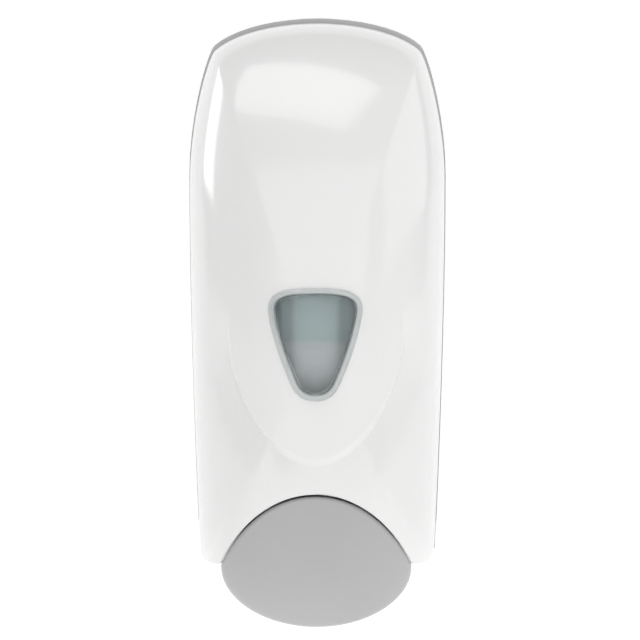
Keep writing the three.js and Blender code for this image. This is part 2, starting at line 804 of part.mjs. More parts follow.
function makePiston() {
  const radius = cylinderInner - 0.2;
  const groove = radius - 1.6;
  return turnedZ([
    [stemBore, pistonTopZ],
    [radius, pistonTopZ],
    [radius, pistonTopZ - pistonLand],
    [groove, pistonTopZ - pistonLand],
    [groove, pistonBottomZ + pistonLand],
    [radius, pistonBottomZ + pistonLand],
    [radius, pistonBottomZ],
    [stemRadius + fitGap, pistonBottomZ],
    [stemRadius + fitGap, pistonTopZ - pistonRoof],
    [stemBore, pistonTopZ - pistonRoof],
  ], 0, pumpY);
}

function makePistonSeal() {
  const bottom = pistonBottomZ + pistonLand + sealInset;
  const top = pistonTopZ - pistonLand - sealInset;
  return tubeZ(cylinderInner - 1.5, cylinderInner - 0.1, bottom, top, 0, pumpY);
}

const stemSocket = 13;

function makeStem() {
  const top = pistonTopZ - pistonRoof - fitGap;
  return tubeZ(stemBore, stemRadius, flangeTopZ - stemSocket, top, 0, pumpY, 20);
}

function makeNozzle() {
  const socket = stemRadius + fitGap;
  const tip = nozzleTipZ + 2;
  return turnedZ([
    [3.4, tip], [5.4, tip], [nozzleRadius, tip + 12], [nozzleRadius, flangeBottomZ],
    [flangeRadius, flangeBottomZ], [flangeRadius, flangeTopZ], [socket, flangeTopZ],
    [socket, flangeTopZ - stemSocket - fitGap], [3.4, flangeTopZ - stemSocket - fitGap],
  ], 0, pumpY);
}

function makeOutletValve() {
  return turnedZ([
    [1, nozzleTipZ],
    [2.9, nozzleTipZ + 5],
    [2.9, nozzleTipZ + 9],
    [1.6, nozzleTipZ + 9],
    [1.6, nozzleTipZ + 5],
    [0.5, nozzleTipZ],
  ], 0, pumpY, 16);
}

// ---------------------------------------------------------------- cover

/** What the cover keeps, seen from the front: all above the foot, with round lower corners. */
function coverTrim() {
  const far = overallWidth;
  const footX = halfWidth - coverStepSide - footInset + 0.4;
  const shape = new THREE.Shape();
  shape.moveTo(-far, topZ + 10);
  shape.lineTo(-far, coverBottomZ + footCornerRadius + 2);
  shape.lineTo(-footX, coverBottomZ + footCornerRadius + 2);
  shape.quadraticCurveTo(-footX + 0.4, coverBottomZ, -footX + footCornerRadius, coverBottomZ);
  shape.lineTo(footX - footCornerRadius, coverBottomZ);
  shape.quadraticCurveTo(footX - 0.4, coverBottomZ, footX, coverBottomZ + footCornerRadius + 2);
  shape.lineTo(far, coverBottomZ + footCornerRadius + 2);
  shape.lineTo(far, topZ + 10);
  return shape;
}

function hingeLobe(side) {
  const lobe = join(
    barX(lobeRadius, lobeInner, lobeOuter, hingeY, hingeZ, 32),
    block(lobeInner, lobeOuter, rimY - coverWall, hingeY, hingeZ - lobeRadius, hingeZ + lobeRadius),
  );
  return side > 0 ? lobe : lobe.mirror([1, 0, 0]);
}

/** The bracket inside the cover that carries one end of the lever's pivot pin. */
function pivotBracket(side) {
  const x0 = hubHalfLength + hubGap;
  const x1 = x0 + bracketThickness;
  const bracket = join(
    block(x0, x1, farFrontY, pivotY, pivotZ - hubRadius, pivotZ + hubRadius),
    barX(hubRadius, x0, x1, pivotY, pivotZ),
  );
  const bored = cut(bracket, barX(pivotRadius + runningGap, x0 - 1, x1 + 1, pivotY, pivotZ));
  return side > 0 ? bored : bored.mirror([1, 0, 0]);
}

/** The tongue under the roof, with the rib that the lock's cam turns in front of. */
function latchTongue() {
  const x0 = tongueInset;
  const x1 = tongueInset + tongueWidth;
  const webFront = rimY - 2 - tongueThickness;
  const ribFront = lockY + camHeelRadius + 0.8;
  const ribRear = ribFront + tongueThickness;
  const tongueBottomZ = tongueTopZ - tongueThickness;
  return join(
    block(x0, x1, webFront, rimY - 2, tongueBottomZ, topZ),
    block(x0, x1, webFront, ribRear, tongueBottomZ, tongueTopZ),
    block(x0, x1, ribFront, ribRear, tongueBottomZ, camTopZ),
  );
}

function makeCover() {
  const inside = bellySolid(coverWall, rimY + 1);
  const belly = bellySolid(0);
  const fittings = join(pivotBracket(1), pivotBracket(-1), latchTongue());
  const shell = cut(belly, inside);
  const archOpening = prismY(outlineShape(leverOutline(-leverGap)), farFrontY, rimY + 2);
  const shellCut = cut(
    shell,
    cut(archOpening, block(-overallWidth, overallWidth, farFrontY, 5, lowestZ - 20, coverBottomZ - 1)),
    prismY(outlineShape(windowOutline(windowRimWidth - fitGap)), farFrontY, -housingDepth),
  );
  const ahead = block(-overallWidth, overallWidth, farFrontY - 5, rimY, lowestZ - 20, topZ + 20);
  const beyondWall = cut(ahead, bellySolid(coverWall / 2));
  const withFittings = join(shellCut, cut(fittings, beyondWall, archOpening));
  const lobes = join(hingeLobe(1), hingeLobe(-1));
  const bored = cut(
    join(withFittings, lobes),
    barX(hingePinRadius + runningGap, -halfWidth - 5, halfWidth + 5, hingeY, hingeZ),
  );
  return bored.intersect(prismY(coverTrim(), farFrontY - 10, 20));
}

const hookWidth = 5;
const hookDepth = 1.6;
const hookGap = bellyDepth * 0.0075;

/** Two hooks on top that hold the window from behind. */
function windowHooks() {
  const places = [[-9, windowTop - windowRimWidth], [9, windowTop - windowRimWidth]];
  return places.map(([x, z]) => {
    const y = bellyY(x, z) + coverWall + hookGap;
    return block(x - hookWidth / 2, x + hookWidth / 2, y, y + hookDepth, z - 3, z + 1.2);
  });
}

/**
 * The window: a pane, a raised rim on the cover's face and a collar through the cover's wall.
 * The rim stands clear of the cover's flat facets, which part more from the belly as it deepens.
 */
function makeWindow() {
  const centreZ = (windowTop + windowBottom) / 2;
  const rim = windowOutline(0);
  const collar = windowOutline(windowRimWidth);
  const inside = windowOutline(windowRimWidth + 1);
  const collarDepth = coverWall + hookGap + hookDepth;
  const paneDepth = 0.2;
  const rimLift = bellyDepth * 0.0036;
  return join(bellyPlate(centreZ, [
    ...shares(0, 1, 5).map((share) => [inside, share, paneDepth]),
    [inside, 1, -windowRimHeight],
    [rim, 1, -windowRimHeight],
    [rim, 1, -rimLift],
    [collar, 1, -rimLift],
    [collar, 1, collarDepth],
    [inside, 1, collarDepth],
    ...shares(1, 0, 5).map((share) => [inside, share, paneDepth + lensThickness]),
  ]), ...windowHooks());
}

// ---------------------------------------------------------------- lever

const yokeScrewX = 13;
const yokePadSetback = 14;
const yokeScrewZ = archTopZ - 17;
const yokePadY = bellyY(0, yokeScrewZ) + yokePadSetback;
const yokePadThickness = 2.6;
const yokeScrewLength = 8;
const yokeBossRadius = 4.2;
const leverFlangeWall = 2.4;

function makeLever() {
  const edge = leverOutline(0);
  const inner = leverOutline(leverFlangeWall);
  const plate = bellyPlate(coverBottomZ, [
    ...shares(0, 1, 7).map((share) => [edge, share, leverRecess]),
    [edge, 1, leverRecess + leverFlange],
    [inner, 1, leverRecess + leverFlange],
    ...shares(1, 0, 6).map((share) => [inner, share, leverRecess + leverWall]),
  ]);
  const bosses = [-1, 1].map((s) => barY(yokeBossRadius, bellyY(yokeScrewX, yokeScrewZ) + leverRecess + 1.4,
    yokePadY - fitGap, s * yokeScrewX, yokeScrewZ));
  const holes = [-1, 1].map((s) => barY(screwRadius + fitGap, yokePadY - 9, yokePadY + 1, s * yokeScrewX,
    yokeScrewZ));
  return cut(join(plate, ...bosses), ...holes);
}

const prongInner = nozzleRadius + 2.4;
const prongOuter = prongInner + 4.6;
const prongHeight = 5;

function makeYoke() {
  const padTop = yokeScrewZ + 8;
  const prongTop = flangeBottomZ - fitGap;
  const web = prismX(polygon(
    [yokePadY, yokeScrewZ - 6],
    [yokePadY + yokePadThickness, yokeScrewZ - 6],
    [yokePadY + yokePadThickness, padTop],
    [pivotY + hubRadius - 1, pivotZ - 3],
    [pivotY - hubRadius + 0.4, pivotZ - 1],
    [yokePadY, padTop],
  ), -yokeScrewX - 5, yokeScrewX + 5);
  const hub = barX(hubRadius, -hubHalfLength, hubHalfLength, pivotY, pivotZ);
  const prongs = [-1, 1].map((s) => {
    const shape = new THREE.Shape();
    shape.moveTo(pivotY + 2, pivotZ - 2);
    shape.lineTo(pivotY - 4, pivotZ - 4);
    shape.lineTo(yokePadY + yokePadThickness - 0.5, padTop - 2);
    shape.lineTo(pivotY + 10, prongTop - prongHeight);
    shape.lineTo(pumpY + 6, prongTop - prongHeight + 0.6);
    shape.quadraticCurveTo(pumpY + 10, prongTop - 3.4, pumpY + 6, prongTop - 2.2);
    shape.lineTo(pumpY - 1, prongTop - 0.1);
    shape.lineTo(pumpY - 3, prongTop);
    shape.lineTo(pumpY - flangeRadius - 3, prongTop - 1);
    const [x0, x1] = s > 0 ? [prongInner, prongOuter] : [-prongOuter, -prongInner];
    return prismX(shape, x0, x1);
  });
  const holes = [-1, 1].map((s) => barY(screwRadius + fitGap, yokePadY - 1, yokePadY + 4, s * yokeScrewX,
    yokeScrewZ));
  return cut(
    join(web, hub, ...prongs),
    barX(pivotRadius + runningGap, -hubHalfLength - 1, hubHalfLength + 1, pivotY, pivotZ),
    ...holes,
  );
}

/** A screw that holds the yoke's pad to its boss behind the lever. */
function makeYokeScrew(side) {
  const seatY = yokePadY + yokePadThickness + fitGap;
  return makeScrewY(side * yokeScrewX, seatY, yokeScrewZ, yokeScrewLength, 1);
}

const pinEnd = hubHalfLength + hubGap + bracketThickness + 3;

function makePivotPin() {
  return barX(pivotRadius, -pinEnd, pinEnd, pivotY, pivotZ);
}

function makePivotClip(side) {
  const x0 = hubHalfLength + hubGap + bracketThickness + fitGap;
  const clip = cut(
    barX(pivotRadius + 2.4, x0, x0 + 1.2, pivotY, pivotZ),
    barX(pivotRadius + fitGap, x0 - 1, x0 + 3, pivotY, pivotZ),
  );
  return side > 0 ? clip : clip.mirror([1, 0, 0]);
}

// ---------------------------------------------------------------- lock

function makeLockSleeve() {
  return turnedZ([
    [barrelRadius + fitGap, sleeveBottomZ], [sleeveRadius, sleeveBottomZ], [sleeveRadius, roofZ - 1.1],
    [sleeveHeadRadius, roofZ - 1.1], [sleeveHeadRadius, roofZ], [barrelRadius + fitGap, roofZ],
  ], 0, lockY);
}

function makeLockNut() {
  const shape = new THREE.Shape();
  for (let i = 0; i < 6; i += 1) {
    const angle = (i * Math.PI) / 3;
    shape[i === 0 ? 'moveTo' : 'lineTo'](9 * Math.cos(angle), lockY + 9 * Math.sin(angle));
  }
  const top = topZ - housingWall - 1;
  return cut(prismZ(shape, top - 3, top), barZ(sleeveRadius + fitGap, top - 4, top + 1, 0, lockY));
}

function makeLockBarrel() {
  return cut(
    join(
      barZ(barrelRadius, sleeveBottomZ - 0.1, roofZ - 0.1, 0, lockY),
      barZ(2.4, camBottomZ - 0.4, sleeveBottomZ + 1, 0, lockY, 16),
    ),
    block(-2.8, 2.8, lockY - 0.5, lockY + 0.5, roofZ - 5, roofZ + 1),
    barZ(screwRadius + fitGap, camBottomZ - 2, camBottomZ + 4.5, 0, lockY, 16),
  );
}

function makeLockCam() {
  const shape = new THREE.Shape();
  shape.absarc(0, lockY, camHeelRadius, -Math.PI * 0.2, Math.PI * 1.2, false);
  shape.lineTo(-3, lockY - camReach + 3);
  shape.quadraticCurveTo(0, lockY - camReach - 3, 3, lockY - camReach + 3);
  return cut(
    prismZ(shape, camBottomZ, camTopZ),
    barZ(2.4 + fitGap, camBottomZ - 1, camTopZ + 1, 0, lockY, 16),
  );
}

function makeCamScrew() {
  const seat = camBottomZ - 0.8;
  return join(
    barZ(screwHeadRadius, seat - screwHeadHeight + 0.4, seat, 0, lockY),
    barZ(screwRadius, seat - 0.2, seat + 4.6, 0, lockY, 16),
  );
}

// ---------------------------------------------------------------- finishes and assembly

const finishes = {
  whiteGloss: { color: 0xececea, roughness: 0.22, metalness: 0 },
  greyShell: { color: 0xa4a6a5, roughness: 0.4, metalness: 0 },
  greyLever: { color: 0xb4b6b5, roughness: 0.38, metalness: 0 },
  blackPlastic: { color: 0x2c2d2f, roughness: 0.5, metalness: 0 },
  naturalPlastic: { color: 0xd9dcda, roughness: 0.45, metalness: 0 },
  frosted: { color: 0xb9c6ca, roughness: 0.35, metalness: 0 },
  clear: { color: 0xe6ecec, roughness: 0.06, metalness: 0 },
  rubber: { color: 0x3a3c3e, roughness: 0.8, metalness: 0 },
  steel: { color: 0xc4c7ca, roughness: 0.3, metalness: 1 },
};

const dispenser = new THREE.Group();

function add(name, solid, finish) {
  const mesh = new THREE.Mesh(geometryOf(solid), new THREE.MeshStandardMaterial(finish));
  mesh.name = name;
  dispenser.add(mesh);
}

add('back_plate', makeBackPlate(), finishes.greyShell);
add('reservoir_shelf', makeShelf(), finishes.greyShell);
add('shelf_screw_left', makeShelfScrew(-1), finishes.steel);
add('shelf_screw_right', makeShelfScrew(1), finishes.steel);
add('hinge_pin_left', makeHingePin(-1), finishes.steel);
add('hinge_pin_right', makeHingePin(1), finishes.steel);
add('lock_sleeve', makeLockSleeve(), finishes.steel);
add('lock_nut', makeLockNut(), finishes.steel);

add('reservoir_bottle', makeBottle(), finishes.frosted);
add('pump_collar', makeCollar(), finishes.naturalPlastic);
add('pump_gasket', makeGasket(), finishes.rubber);
add('pump_cylinder', makeCylinder(), finishes.naturalPlastic);
add('inlet_valve', makeInletValve(), finishes.rubber);
add('cylinder_cap', makeCylinderCap(), finishes.naturalPlastic);
add('pump_spring', makeSpring(), finishes.steel);

add('pump_nozzle', makeNozzle(), finishes.naturalPlastic);
add('pump_stem', makeStem(), finishes.naturalPlastic);
add('piston', makePiston(), finishes.naturalPlastic);
add('piston_seal', makePistonSeal(), finishes.rubber);
add('outlet_valve', makeOutletValve(), finishes.rubber);

add('front_cover', makeCover(), finishes.whiteGloss);
add('window_lens', makeWindow(), finishes.clear);
add('lever_pivot_pin', makePivotPin(), finishes.steel);
add('pivot_clip_left', makePivotClip(-1), finishes.steel);
add('pivot_clip_right', makePivotClip(1), finishes.steel);

add('push_lever', makeLever(), finishes.greyLever);
add('lever_yoke', makeYoke(), finishes.blackPlastic);
add('yoke_screw_left', makeYokeScrew(-1), finishes.steel);
add('yoke_screw_right', makeYokeScrew(1), finishes.steel);

add('lock_barrel', makeLockBarrel(), finishes.steel);
add('lock_cam', makeLockCam(), finishes.steel);
add('cam_screw', makeCamScrew(), finishes.steel);

add('fill_cap', makeFillCap(), finishes.naturalPlastic);
add('cap_seal', makeCapSeal(), finishes.rubber);

export default dispenser;
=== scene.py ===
"""Looks, light and camera for the wall mounted soap dispenser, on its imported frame.

The cover, window, lever and bottle are rebuilt as fine surfaces on the frame's own sizes. Every
other part carries its shape over with softened shading. Sizes are in millimetres in this file's
dataclasses, and meshes are written in metres.
"""

import logging
import math
from dataclasses import dataclass, field
from enum import Enum
from typing import Optional, Sequence, Union

import bpy
import numpy as np
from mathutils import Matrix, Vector


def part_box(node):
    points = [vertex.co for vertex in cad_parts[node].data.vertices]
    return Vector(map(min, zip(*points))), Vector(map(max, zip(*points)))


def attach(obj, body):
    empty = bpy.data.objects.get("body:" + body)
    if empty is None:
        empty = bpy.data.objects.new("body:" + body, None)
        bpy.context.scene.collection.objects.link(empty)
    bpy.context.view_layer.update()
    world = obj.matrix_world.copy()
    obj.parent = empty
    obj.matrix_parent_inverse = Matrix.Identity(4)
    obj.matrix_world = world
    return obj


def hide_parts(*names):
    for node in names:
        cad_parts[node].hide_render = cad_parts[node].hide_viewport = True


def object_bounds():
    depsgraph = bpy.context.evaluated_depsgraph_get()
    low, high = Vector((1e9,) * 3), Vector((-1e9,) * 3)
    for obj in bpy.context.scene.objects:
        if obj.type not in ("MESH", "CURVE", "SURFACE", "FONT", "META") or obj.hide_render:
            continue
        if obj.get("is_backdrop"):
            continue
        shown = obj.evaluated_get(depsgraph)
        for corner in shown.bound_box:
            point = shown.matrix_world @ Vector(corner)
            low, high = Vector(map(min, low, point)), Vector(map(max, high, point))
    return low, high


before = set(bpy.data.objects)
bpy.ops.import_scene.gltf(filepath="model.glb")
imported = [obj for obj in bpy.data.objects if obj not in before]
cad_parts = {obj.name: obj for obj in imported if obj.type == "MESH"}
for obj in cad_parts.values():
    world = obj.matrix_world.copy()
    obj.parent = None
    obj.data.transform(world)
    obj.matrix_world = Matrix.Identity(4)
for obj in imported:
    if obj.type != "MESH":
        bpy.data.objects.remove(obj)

MM = 0.001
LOG = logging.getLogger("dispenser")
Array = np.ndarray
Object = bpy.types.Object
Material = bpy.types.Material
joined = np.concatenate


# ---- names


class Body(Enum):
    """The frame's moving bodies."""

    HOUSING = "housing"
    COVER = "cover"
    LEVER = "lever"
    PUMP = "pump_head"
    LOCK = "lock"
    FILLER = "filler"


class Slot(Enum):
    """The record's material slots."""

    WHITE = "white_cover"
    SHELL = "grey_shell"
    LEVER = "grey_lever"
    BLACK = "black_plastic"
    NATURAL = "natural_plastic"
    BOTTLE = "frosted_bottle"
    LENS = "clear_lens"
    RUBBER = "seal_rubber"
    STEEL = "steel"


# ---- shader maths


class Value:
    """A shader socket that adds Math nodes when it is used in arithmetic."""

    def __init__(self, graph: "Graph", socket: bpy.types.NodeSocket) -> None:
        """Wrap a socket of a graph."""
        self.graph = graph
        self.socket = socket

    def _math(self, operation: str, other: object) -> "Value":
        """Add a Math node on this value and another operand."""
        return self.graph.add("Math", {"operation": operation}, {0: self, 1: other})

    def __add__(self, other: object) -> "Value":
        """Sum."""
        return self._math("ADD", other)

    def __sub__(self, other: object) -> "Value":
        """Difference."""
        return self._math("SUBTRACT", other)

    def __mul__(self, other: object) -> "Value":
        """Product."""
        return self._math("MULTIPLY", other)

    def ramp(self, low: float, high: float) -> "Value":
        """Go smoothly from 0 at low to 1 at high."""
        return self.graph.add(
            "MapRange",
            {"interpolation_type": "SMOOTHSTEP"},
            {"Value": self, "From Min": low, "From Max": high},
        )

    def mix(self, low: Sequence[float], high: Sequence[float]) -> "Value":
        """Mix two colours, from low where this value is 0 to high where it is 1."""
        return self.graph.add(
            "Mix",
            {"data_type": "RGBA"},
            {0: self, 6: (*low, 1.0), 7: (*high, 1.0)},
            output=2,
        )


class Graph:
    """A material's node tree and the calls that fill it."""

    def __init__(self, name: str) -> None:
        """Start an empty material with a Principled surface."""
        self.material = bpy.data.materials.new(name)
        self.material.use_nodes = True
        self.tree = self.material.node_tree
        self.tree.nodes.clear()
        self.shader = self.tree.nodes.new("ShaderNodeBsdfPrincipled")
        end = self.tree.nodes.new("ShaderNodeOutputMaterial")
        self.tree.links.new(self.shader.outputs["BSDF"], end.inputs["Surface"])
        place = self.tree.nodes.new("ShaderNodeTexCoord")
        self.place = Value(self, place.outputs["Object"])

    def _plug(self, socket: bpy.types.NodeSocket, value: object) -> None:
        """Link a Value to a socket, or set its constant."""
        if isinstance(value, Value):
            self.tree.links.new(value.socket, socket)
        else:
            socket.default_value = value

    def add(
        self,
        kind: str,
        settings: Optional[dict] = None,
        inputs: Optional[dict] = None,
        output: Union[int, str] = 0,
    ) -> Value:
        """Add a node.

        Args:
            kind: The node's type, without its ShaderNode prefix.
            settings: Attributes set before any input.
            inputs: Values or links by input name or number.
            output: The output to hand back.

        Returns:
            The chosen output.
        """
        node = self.tree.nodes.new("ShaderNode" + kind)
        for key, value in (settings or {}).items():
            setattr(node, key, value)
        for key, value in (inputs or {}).items():
            self._plug(node.inputs[key], value)
        return Value(self, node.outputs[output])

    def noise(self, size: float, detail: float = 2.0, stretch: Sequence[float] = (1, 1, 1)) -> Value:
        """Noise over the object, around 0.5, with blotches of a size in millimetres."""
        at = self.add("Mapping", None, {"Vector": self.place, "Scale": tuple(stretch)})
        return self.add(
            "TexNoise",
            None,
            {"Vector": at, "Scale": 1.0 / (size * MM), "Detail": detail, "Roughness": 0.55},
        )

    def bump(self, height: Value, depth: float) -> Value:
        """Turn a height from 0 to 1 into a normal, where 1 stands out by depth in millimetres."""
        return self.add("Bump", None, {"Height": height, "Distance": depth * MM, "Strength": 1.0})

    def surface(self, **inputs: object) -> Material:
        """Set the Principled surface's inputs, with spaces written as underscores."""
        for key, value in inputs.items():
            self._plug(self.shader.inputs[key.replace("_", " ")], value)
        return self.material


# ---- finishes


@dataclass(frozen=True)
class Finish:
    """What every finish has."""

    name: str
    colour: tuple


@dataclass(frozen=True)
class Plastic(Finish):
    """Injection moulded plastic: even colour with a little flow mottling and a fine skin."""

    roughness: float
    coat: float = 0.0
    mottle: float = 0.02
    grain: float = 0.5
    grain_depth: float = 0.004
    waviness: float = 0.0

    def build(self) -> Material:
        """Build the material."""
        g = Graph(self.name)
        cloud = g.noise(38.0, 3.0)
        fine = g.noise(2.2, 3.0)
        tone = (cloud * 0.65 + fine * 0.35).ramp(0.3, 0.7)
        dark = tuple(c * (1.0 - self.mottle) for c in self.colour)
        light = tuple(min(1.0, c * (1.0 + self.mottle)) for c in self.colour)
        skin = g.noise(self.grain, 2.0) * self.grain_depth
        swell = g.noise(26.0, 1.0) * self.waviness
        scuff = g.noise(11.0, 4.0, (1.0, 1.0, 0.35)).ramp(0.55, 0.8)
        return g.surface(
            Base_Color=tone.mix(dark, light),
            Roughness=fine * 0.04 + (self.roughness - 0.02) + scuff * 0.05,
            Coat_Weight=self.coat,
            Coat_Roughness=0.06,
            IOR=1.49,
            Normal=g.bump(skin + swell, 1.0),
        )


@dataclass(frozen=True)
class ClearPlastic(Finish):
    """Clear moulded plastic with a polished skin and a trace of haze."""

    roughness: float

    def build(self) -> Material:
        """Build the material."""
        g = Graph(self.name)
        haze = g.noise(6.0, 3.0).ramp(0.35, 0.75)
        return g.surface(
            Base_Color=haze.mix(self.colour, tuple(min(1.0, c * 1.02) for c in self.colour)),
            Roughness=haze * 0.03 + self.roughness,
            Transmission_Weight=1.0,
            IOR=1.46,
            Normal=g.bump(g.noise(9.0, 2.0), 0.006),
        )


@dataclass(frozen=True)
class Frosted(Finish):
    """Blow moulded bottle, drawn opaque: matt skin, flow lines, a soap level, and painted shade on its
    sides off the sight band.

    Its colour is the empty part's; soap is the filled part's, and shade darkens both off the sight band:
    painted shade standing in for the shadow on the bottle's sides.
    """

    soap: tuple
    shade: float
    level: float
    roughness: float

    def build(self) -> Material:
        """Build the material."""
        g = Graph(self.name)
        flow = g.noise(13.0, 4.0, (1.0, 1.0, 0.25))
        cloud = g.noise(30.0, 2.0)
        height = g.add("SeparateXYZ", None, {0: g.place}, output=2)
        wave = cloud * 0.0016 + (self.level - 0.0008)
        filled = (wave - height).ramp(-0.0012, 0.0012)
        # Mask of the sight band: 1 on the band, 0 on the sides, where shade is painted.
        unshaded_band = g.add("Attribute", {"attribute_name": "unshaded_band"}, None, output="Fac")
        pale = filled.mix(self.colour, self.soap)
        # Painted shade: both colours darkened, used on the bottle's sides off the sight band.
        painted_shade_colour = filled.mix(
            tuple(c * self.shade for c in self.colour), tuple(c * self.shade for c in self.soap)
        )
        shown = unshaded_band * 0.85 + (flow - 0.5) * 0.5
        tone = g.add("Mix", {"data_type": "RGBA"}, {0: shown.ramp(0.0, 1.0), 6: painted_shade_colour, 7: pale}, output=2)
        return g.surface(
            Base_Color=tone,
            Roughness=flow * 0.1 + (self.roughness - 0.05),
            IOR=1.5,
            Normal=g.bump(g.noise(0.9, 2.0) * 0.01 + flow * 0.06, 1.0),
        )


@dataclass(frozen=True)
class Steel(Finish):
    """Bright zinc plated or stainless steel with fine turning marks."""

    roughness: float
    lay: tuple = (1.0, 1.0, 9.0)

    def build(self) -> Material:
        """Build the material."""
        g = Graph(self.name)
        marks = g.noise(0.9, 3.0, self.lay)
        tarnish = g.noise(5.0, 3.0).ramp(0.4, 0.75)
        dull = tuple(c * 0.82 for c in self.colour)
        return g.surface(
            Base_Color=tarnish.mix(self.colour, dull),
            Metallic=1.0,
            Roughness=marks * 0.12 + tarnish * 0.08 + self.roughness,
            Normal=g.bump(marks, 0.006),
        )


@dataclass(frozen=True)
class Rubber(Finish):
    """Matt black seal rubber with a dusty bloom."""

    def build(self) -> Material:
        """Build the material."""
        g = Graph(self.name)
        bloom = g.noise(3.0, 4.0).ramp(0.45, 0.8)
        grey = tuple(c * 1.8 for c in self.colour)
        return g.surface(
            Base_Color=bloom.mix(self.colour, grey),
            Roughness=bloom * 0.1 + 0.68,
            Normal=g.bump(g.noise(0.35, 2.0), 0.012),
        )


FINISHES: dict[Slot, Finish] = {
    Slot.WHITE: Plastic("white_gloss", (0.74, 0.74, 0.735), 0.20, 0.30, 0.008, 0.45, 0.0015, 0.010),
    Slot.SHELL: Plastic("grey_shell", (0.46, 0.465, 0.465), 0.42, 0.0, 0.025, 0.5, 0.010),
    Slot.LEVER: Plastic("grey_lever", (0.385, 0.385, 0.385), 0.36, 0.15, 0.02, 0.45, 0.006),
    Slot.BLACK: Plastic("black_plastic", (0.022, 0.023, 0.024), 0.46, 0.0, 0.08, 0.5, 0.012),
    Slot.NATURAL: Plastic("natural_plastic", (0.66, 0.68, 0.66), 0.42, 0.0, 0.03, 0.6, 0.006),
    # The bottle's 0.88 darkens its sides off the sight band: painted shade.
    Slot.BOTTLE: Frosted("frosted_bottle", (0.47, 0.575, 0.58), (0.60, 0.63, 0.65), 0.88, -0.006, 0.38),
    Slot.LENS: ClearPlastic("clear_lens", (0.95, 0.98, 0.98), 0.03),
    Slot.RUBBER: Rubber("seal_rubber", (0.030, 0.031, 0.032)),
    Slot.STEEL: Steel("plated_steel", (0.66, 0.67, 0.68), 0.24),
}
BUILT: dict[Slot, Material] = {}


# ---- mesh tools


class Shell:
    """Closed patches gathered into one mesh, in millimetres."""

    def __init__(self) -> None:
        """Start with no patch."""
        self.points: list[Array] = []
        self.quads: list[Array] = []
        self.triangles: list[Array] = []
        self.count = 0

    def _keep(self, points: Array, quads: Array, triangles: Array) -> None:
        """Store a patch with its faces turned outward.

        Args:
            points: The patch's points, as rows of three.
            quads: Its quads, as rows of four indices.
            triangles: Its triangles, as rows of three indices.
        """
        cut = joined([quads[:, [0, 1, 2]], quads[:, [0, 2, 3]], triangles])
        a, b, c = points[cut[:, 0]], points[cut[:, 1]], points[cut[:, 2]]
        if np.einsum("ij,ij->", a, np.cross(b, c)) < 0:
            quads, triangles = quads[:, ::-1], triangles[:, ::-1]
        self.points.append(points)
        self.quads.append(quads + self.count)
        self.triangles.append(triangles + self.count)
        self.count += len(points)

    @staticmethod
    def _weave(rows: int, columns: int, closed: bool) -> Array:
        """Quads of a grid whose columns wrap, and whose rows wrap too when it is closed."""
        r, c = np.meshgrid(np.arange(rows if closed else rows - 1), np.arange(columns), indexing="ij")
        r1, c1 = (r + 1) % rows, (c + 1) % columns
        return np.stack(
            [r * columns + c, r * columns + c1, r1 * columns + c1, r1 * columns + c], axis=-1
        ).reshape(-1, 4)

    def ring(self, grid: Array) -> "Shell":
        """Add a grid of points that closes on itself both ways."""
        rows, columns, _ = grid.shape
        none = np.zeros((0, 3), int)
        self._keep(grid.reshape(-1, 3), self._weave(rows, columns, True), none)
        return self

    def capped(self, grid: Array) -> "Shell":
        """Add a grid whose first and last rows close on a pole at their middle."""
        rows, columns, _ = grid.shape
        poles = np.stack([grid[0].mean(0), grid[-1].mean(0)])
        points = joined([grid.reshape(-1, 3), poles])
        step = np.arange(columns)
        after = (step + 1) % columns
        last = (rows - 1) * columns
        first = np.stack([after, step, np.full(columns, rows * columns)], axis=-1)
        end = np.stack([last + step, last + after, np.full(columns, rows * columns + 1)], axis=-1)
        self._keep(points, self._weave(rows, columns, False), joined([first, end]))
        return self

    def build(self, name: str, crease: float = 32.0) -> Object:
        """Make the object.

        Args:
            name: The object's name.
            crease: Edges that turn by more than this many degrees stay sharp.

        Returns:
            The object, with its place in its mesh.
        """
        mesh = bpy.data.meshes.new(name)
        points = joined(self.points) * MM
        quads, triangles = joined(self.quads), joined(self.triangles)
        loops = joined([quads.ravel(), triangles.ravel()]).astype(np.int32)
        sizes = joined([np.full(len(quads), 4), np.full(len(triangles), 3)])
        starts = joined([[0], np.cumsum(sizes)[:-1]]).astype(np.int32)
        mesh.vertices.add(len(points))
        mesh.vertices.foreach_set("co", points.astype(np.float32).ravel())
        mesh.loops.add(len(loops))
        mesh.loops.foreach_set("vertex_index", loops)
        mesh.polygons.add(len(sizes))
        mesh.polygons.foreach_set("loop_start", starts)
        smoothed(mesh)
        mesh.update(calc_edges=True)
        mesh.validate()
        mesh.set_sharp_from_angle(angle=math.radians(crease))
        return placed(name, mesh)


def dress(made: Object, slot: Slot, body: Body, *nodes: str) -> Object:
    """Give a piece its slot's finish and its body, and hide the nodes it stands for.

    Args:
        made: The piece.
        slot: Its material slot.
        body: The body it rides on.
        *nodes: The nodes it replaces.

    Returns:
        The piece.
    """
    made.data.materials.clear()
    made.data.materials.append(finish_of(slot))
    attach(made, body.value)
    if nodes:
        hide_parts(*nodes)
    return made


def finish_of(slot: Slot) -> Material:
    """The slot's material, built when it is first asked for."""
    if slot not in BUILT:
        BUILT[slot] = FINISHES[slot].build()
    return BUILT[slot]


def bezier(p0: Sequence, p1: Sequence, p2: Sequence, p3: Sequence, steps: int) -> Array:
    """Points of a cubic curve.

    Args:
        p0, p1, p2, p3: Its start, its two handles and its end.
        steps: How many spans it is cut into.

    Returns:
        The points, ends included.
    """
    t = np.linspace(0.0, 1.0, steps + 1)[:, None]
    u = 1.0 - t
    a, b, c, d = (np.array(p, float)[None] for p in (p0, p1, p2, p3))
    return u**3 * a + 3 * u * u * t * b + 3 * u * t * t * c + t**3 * d


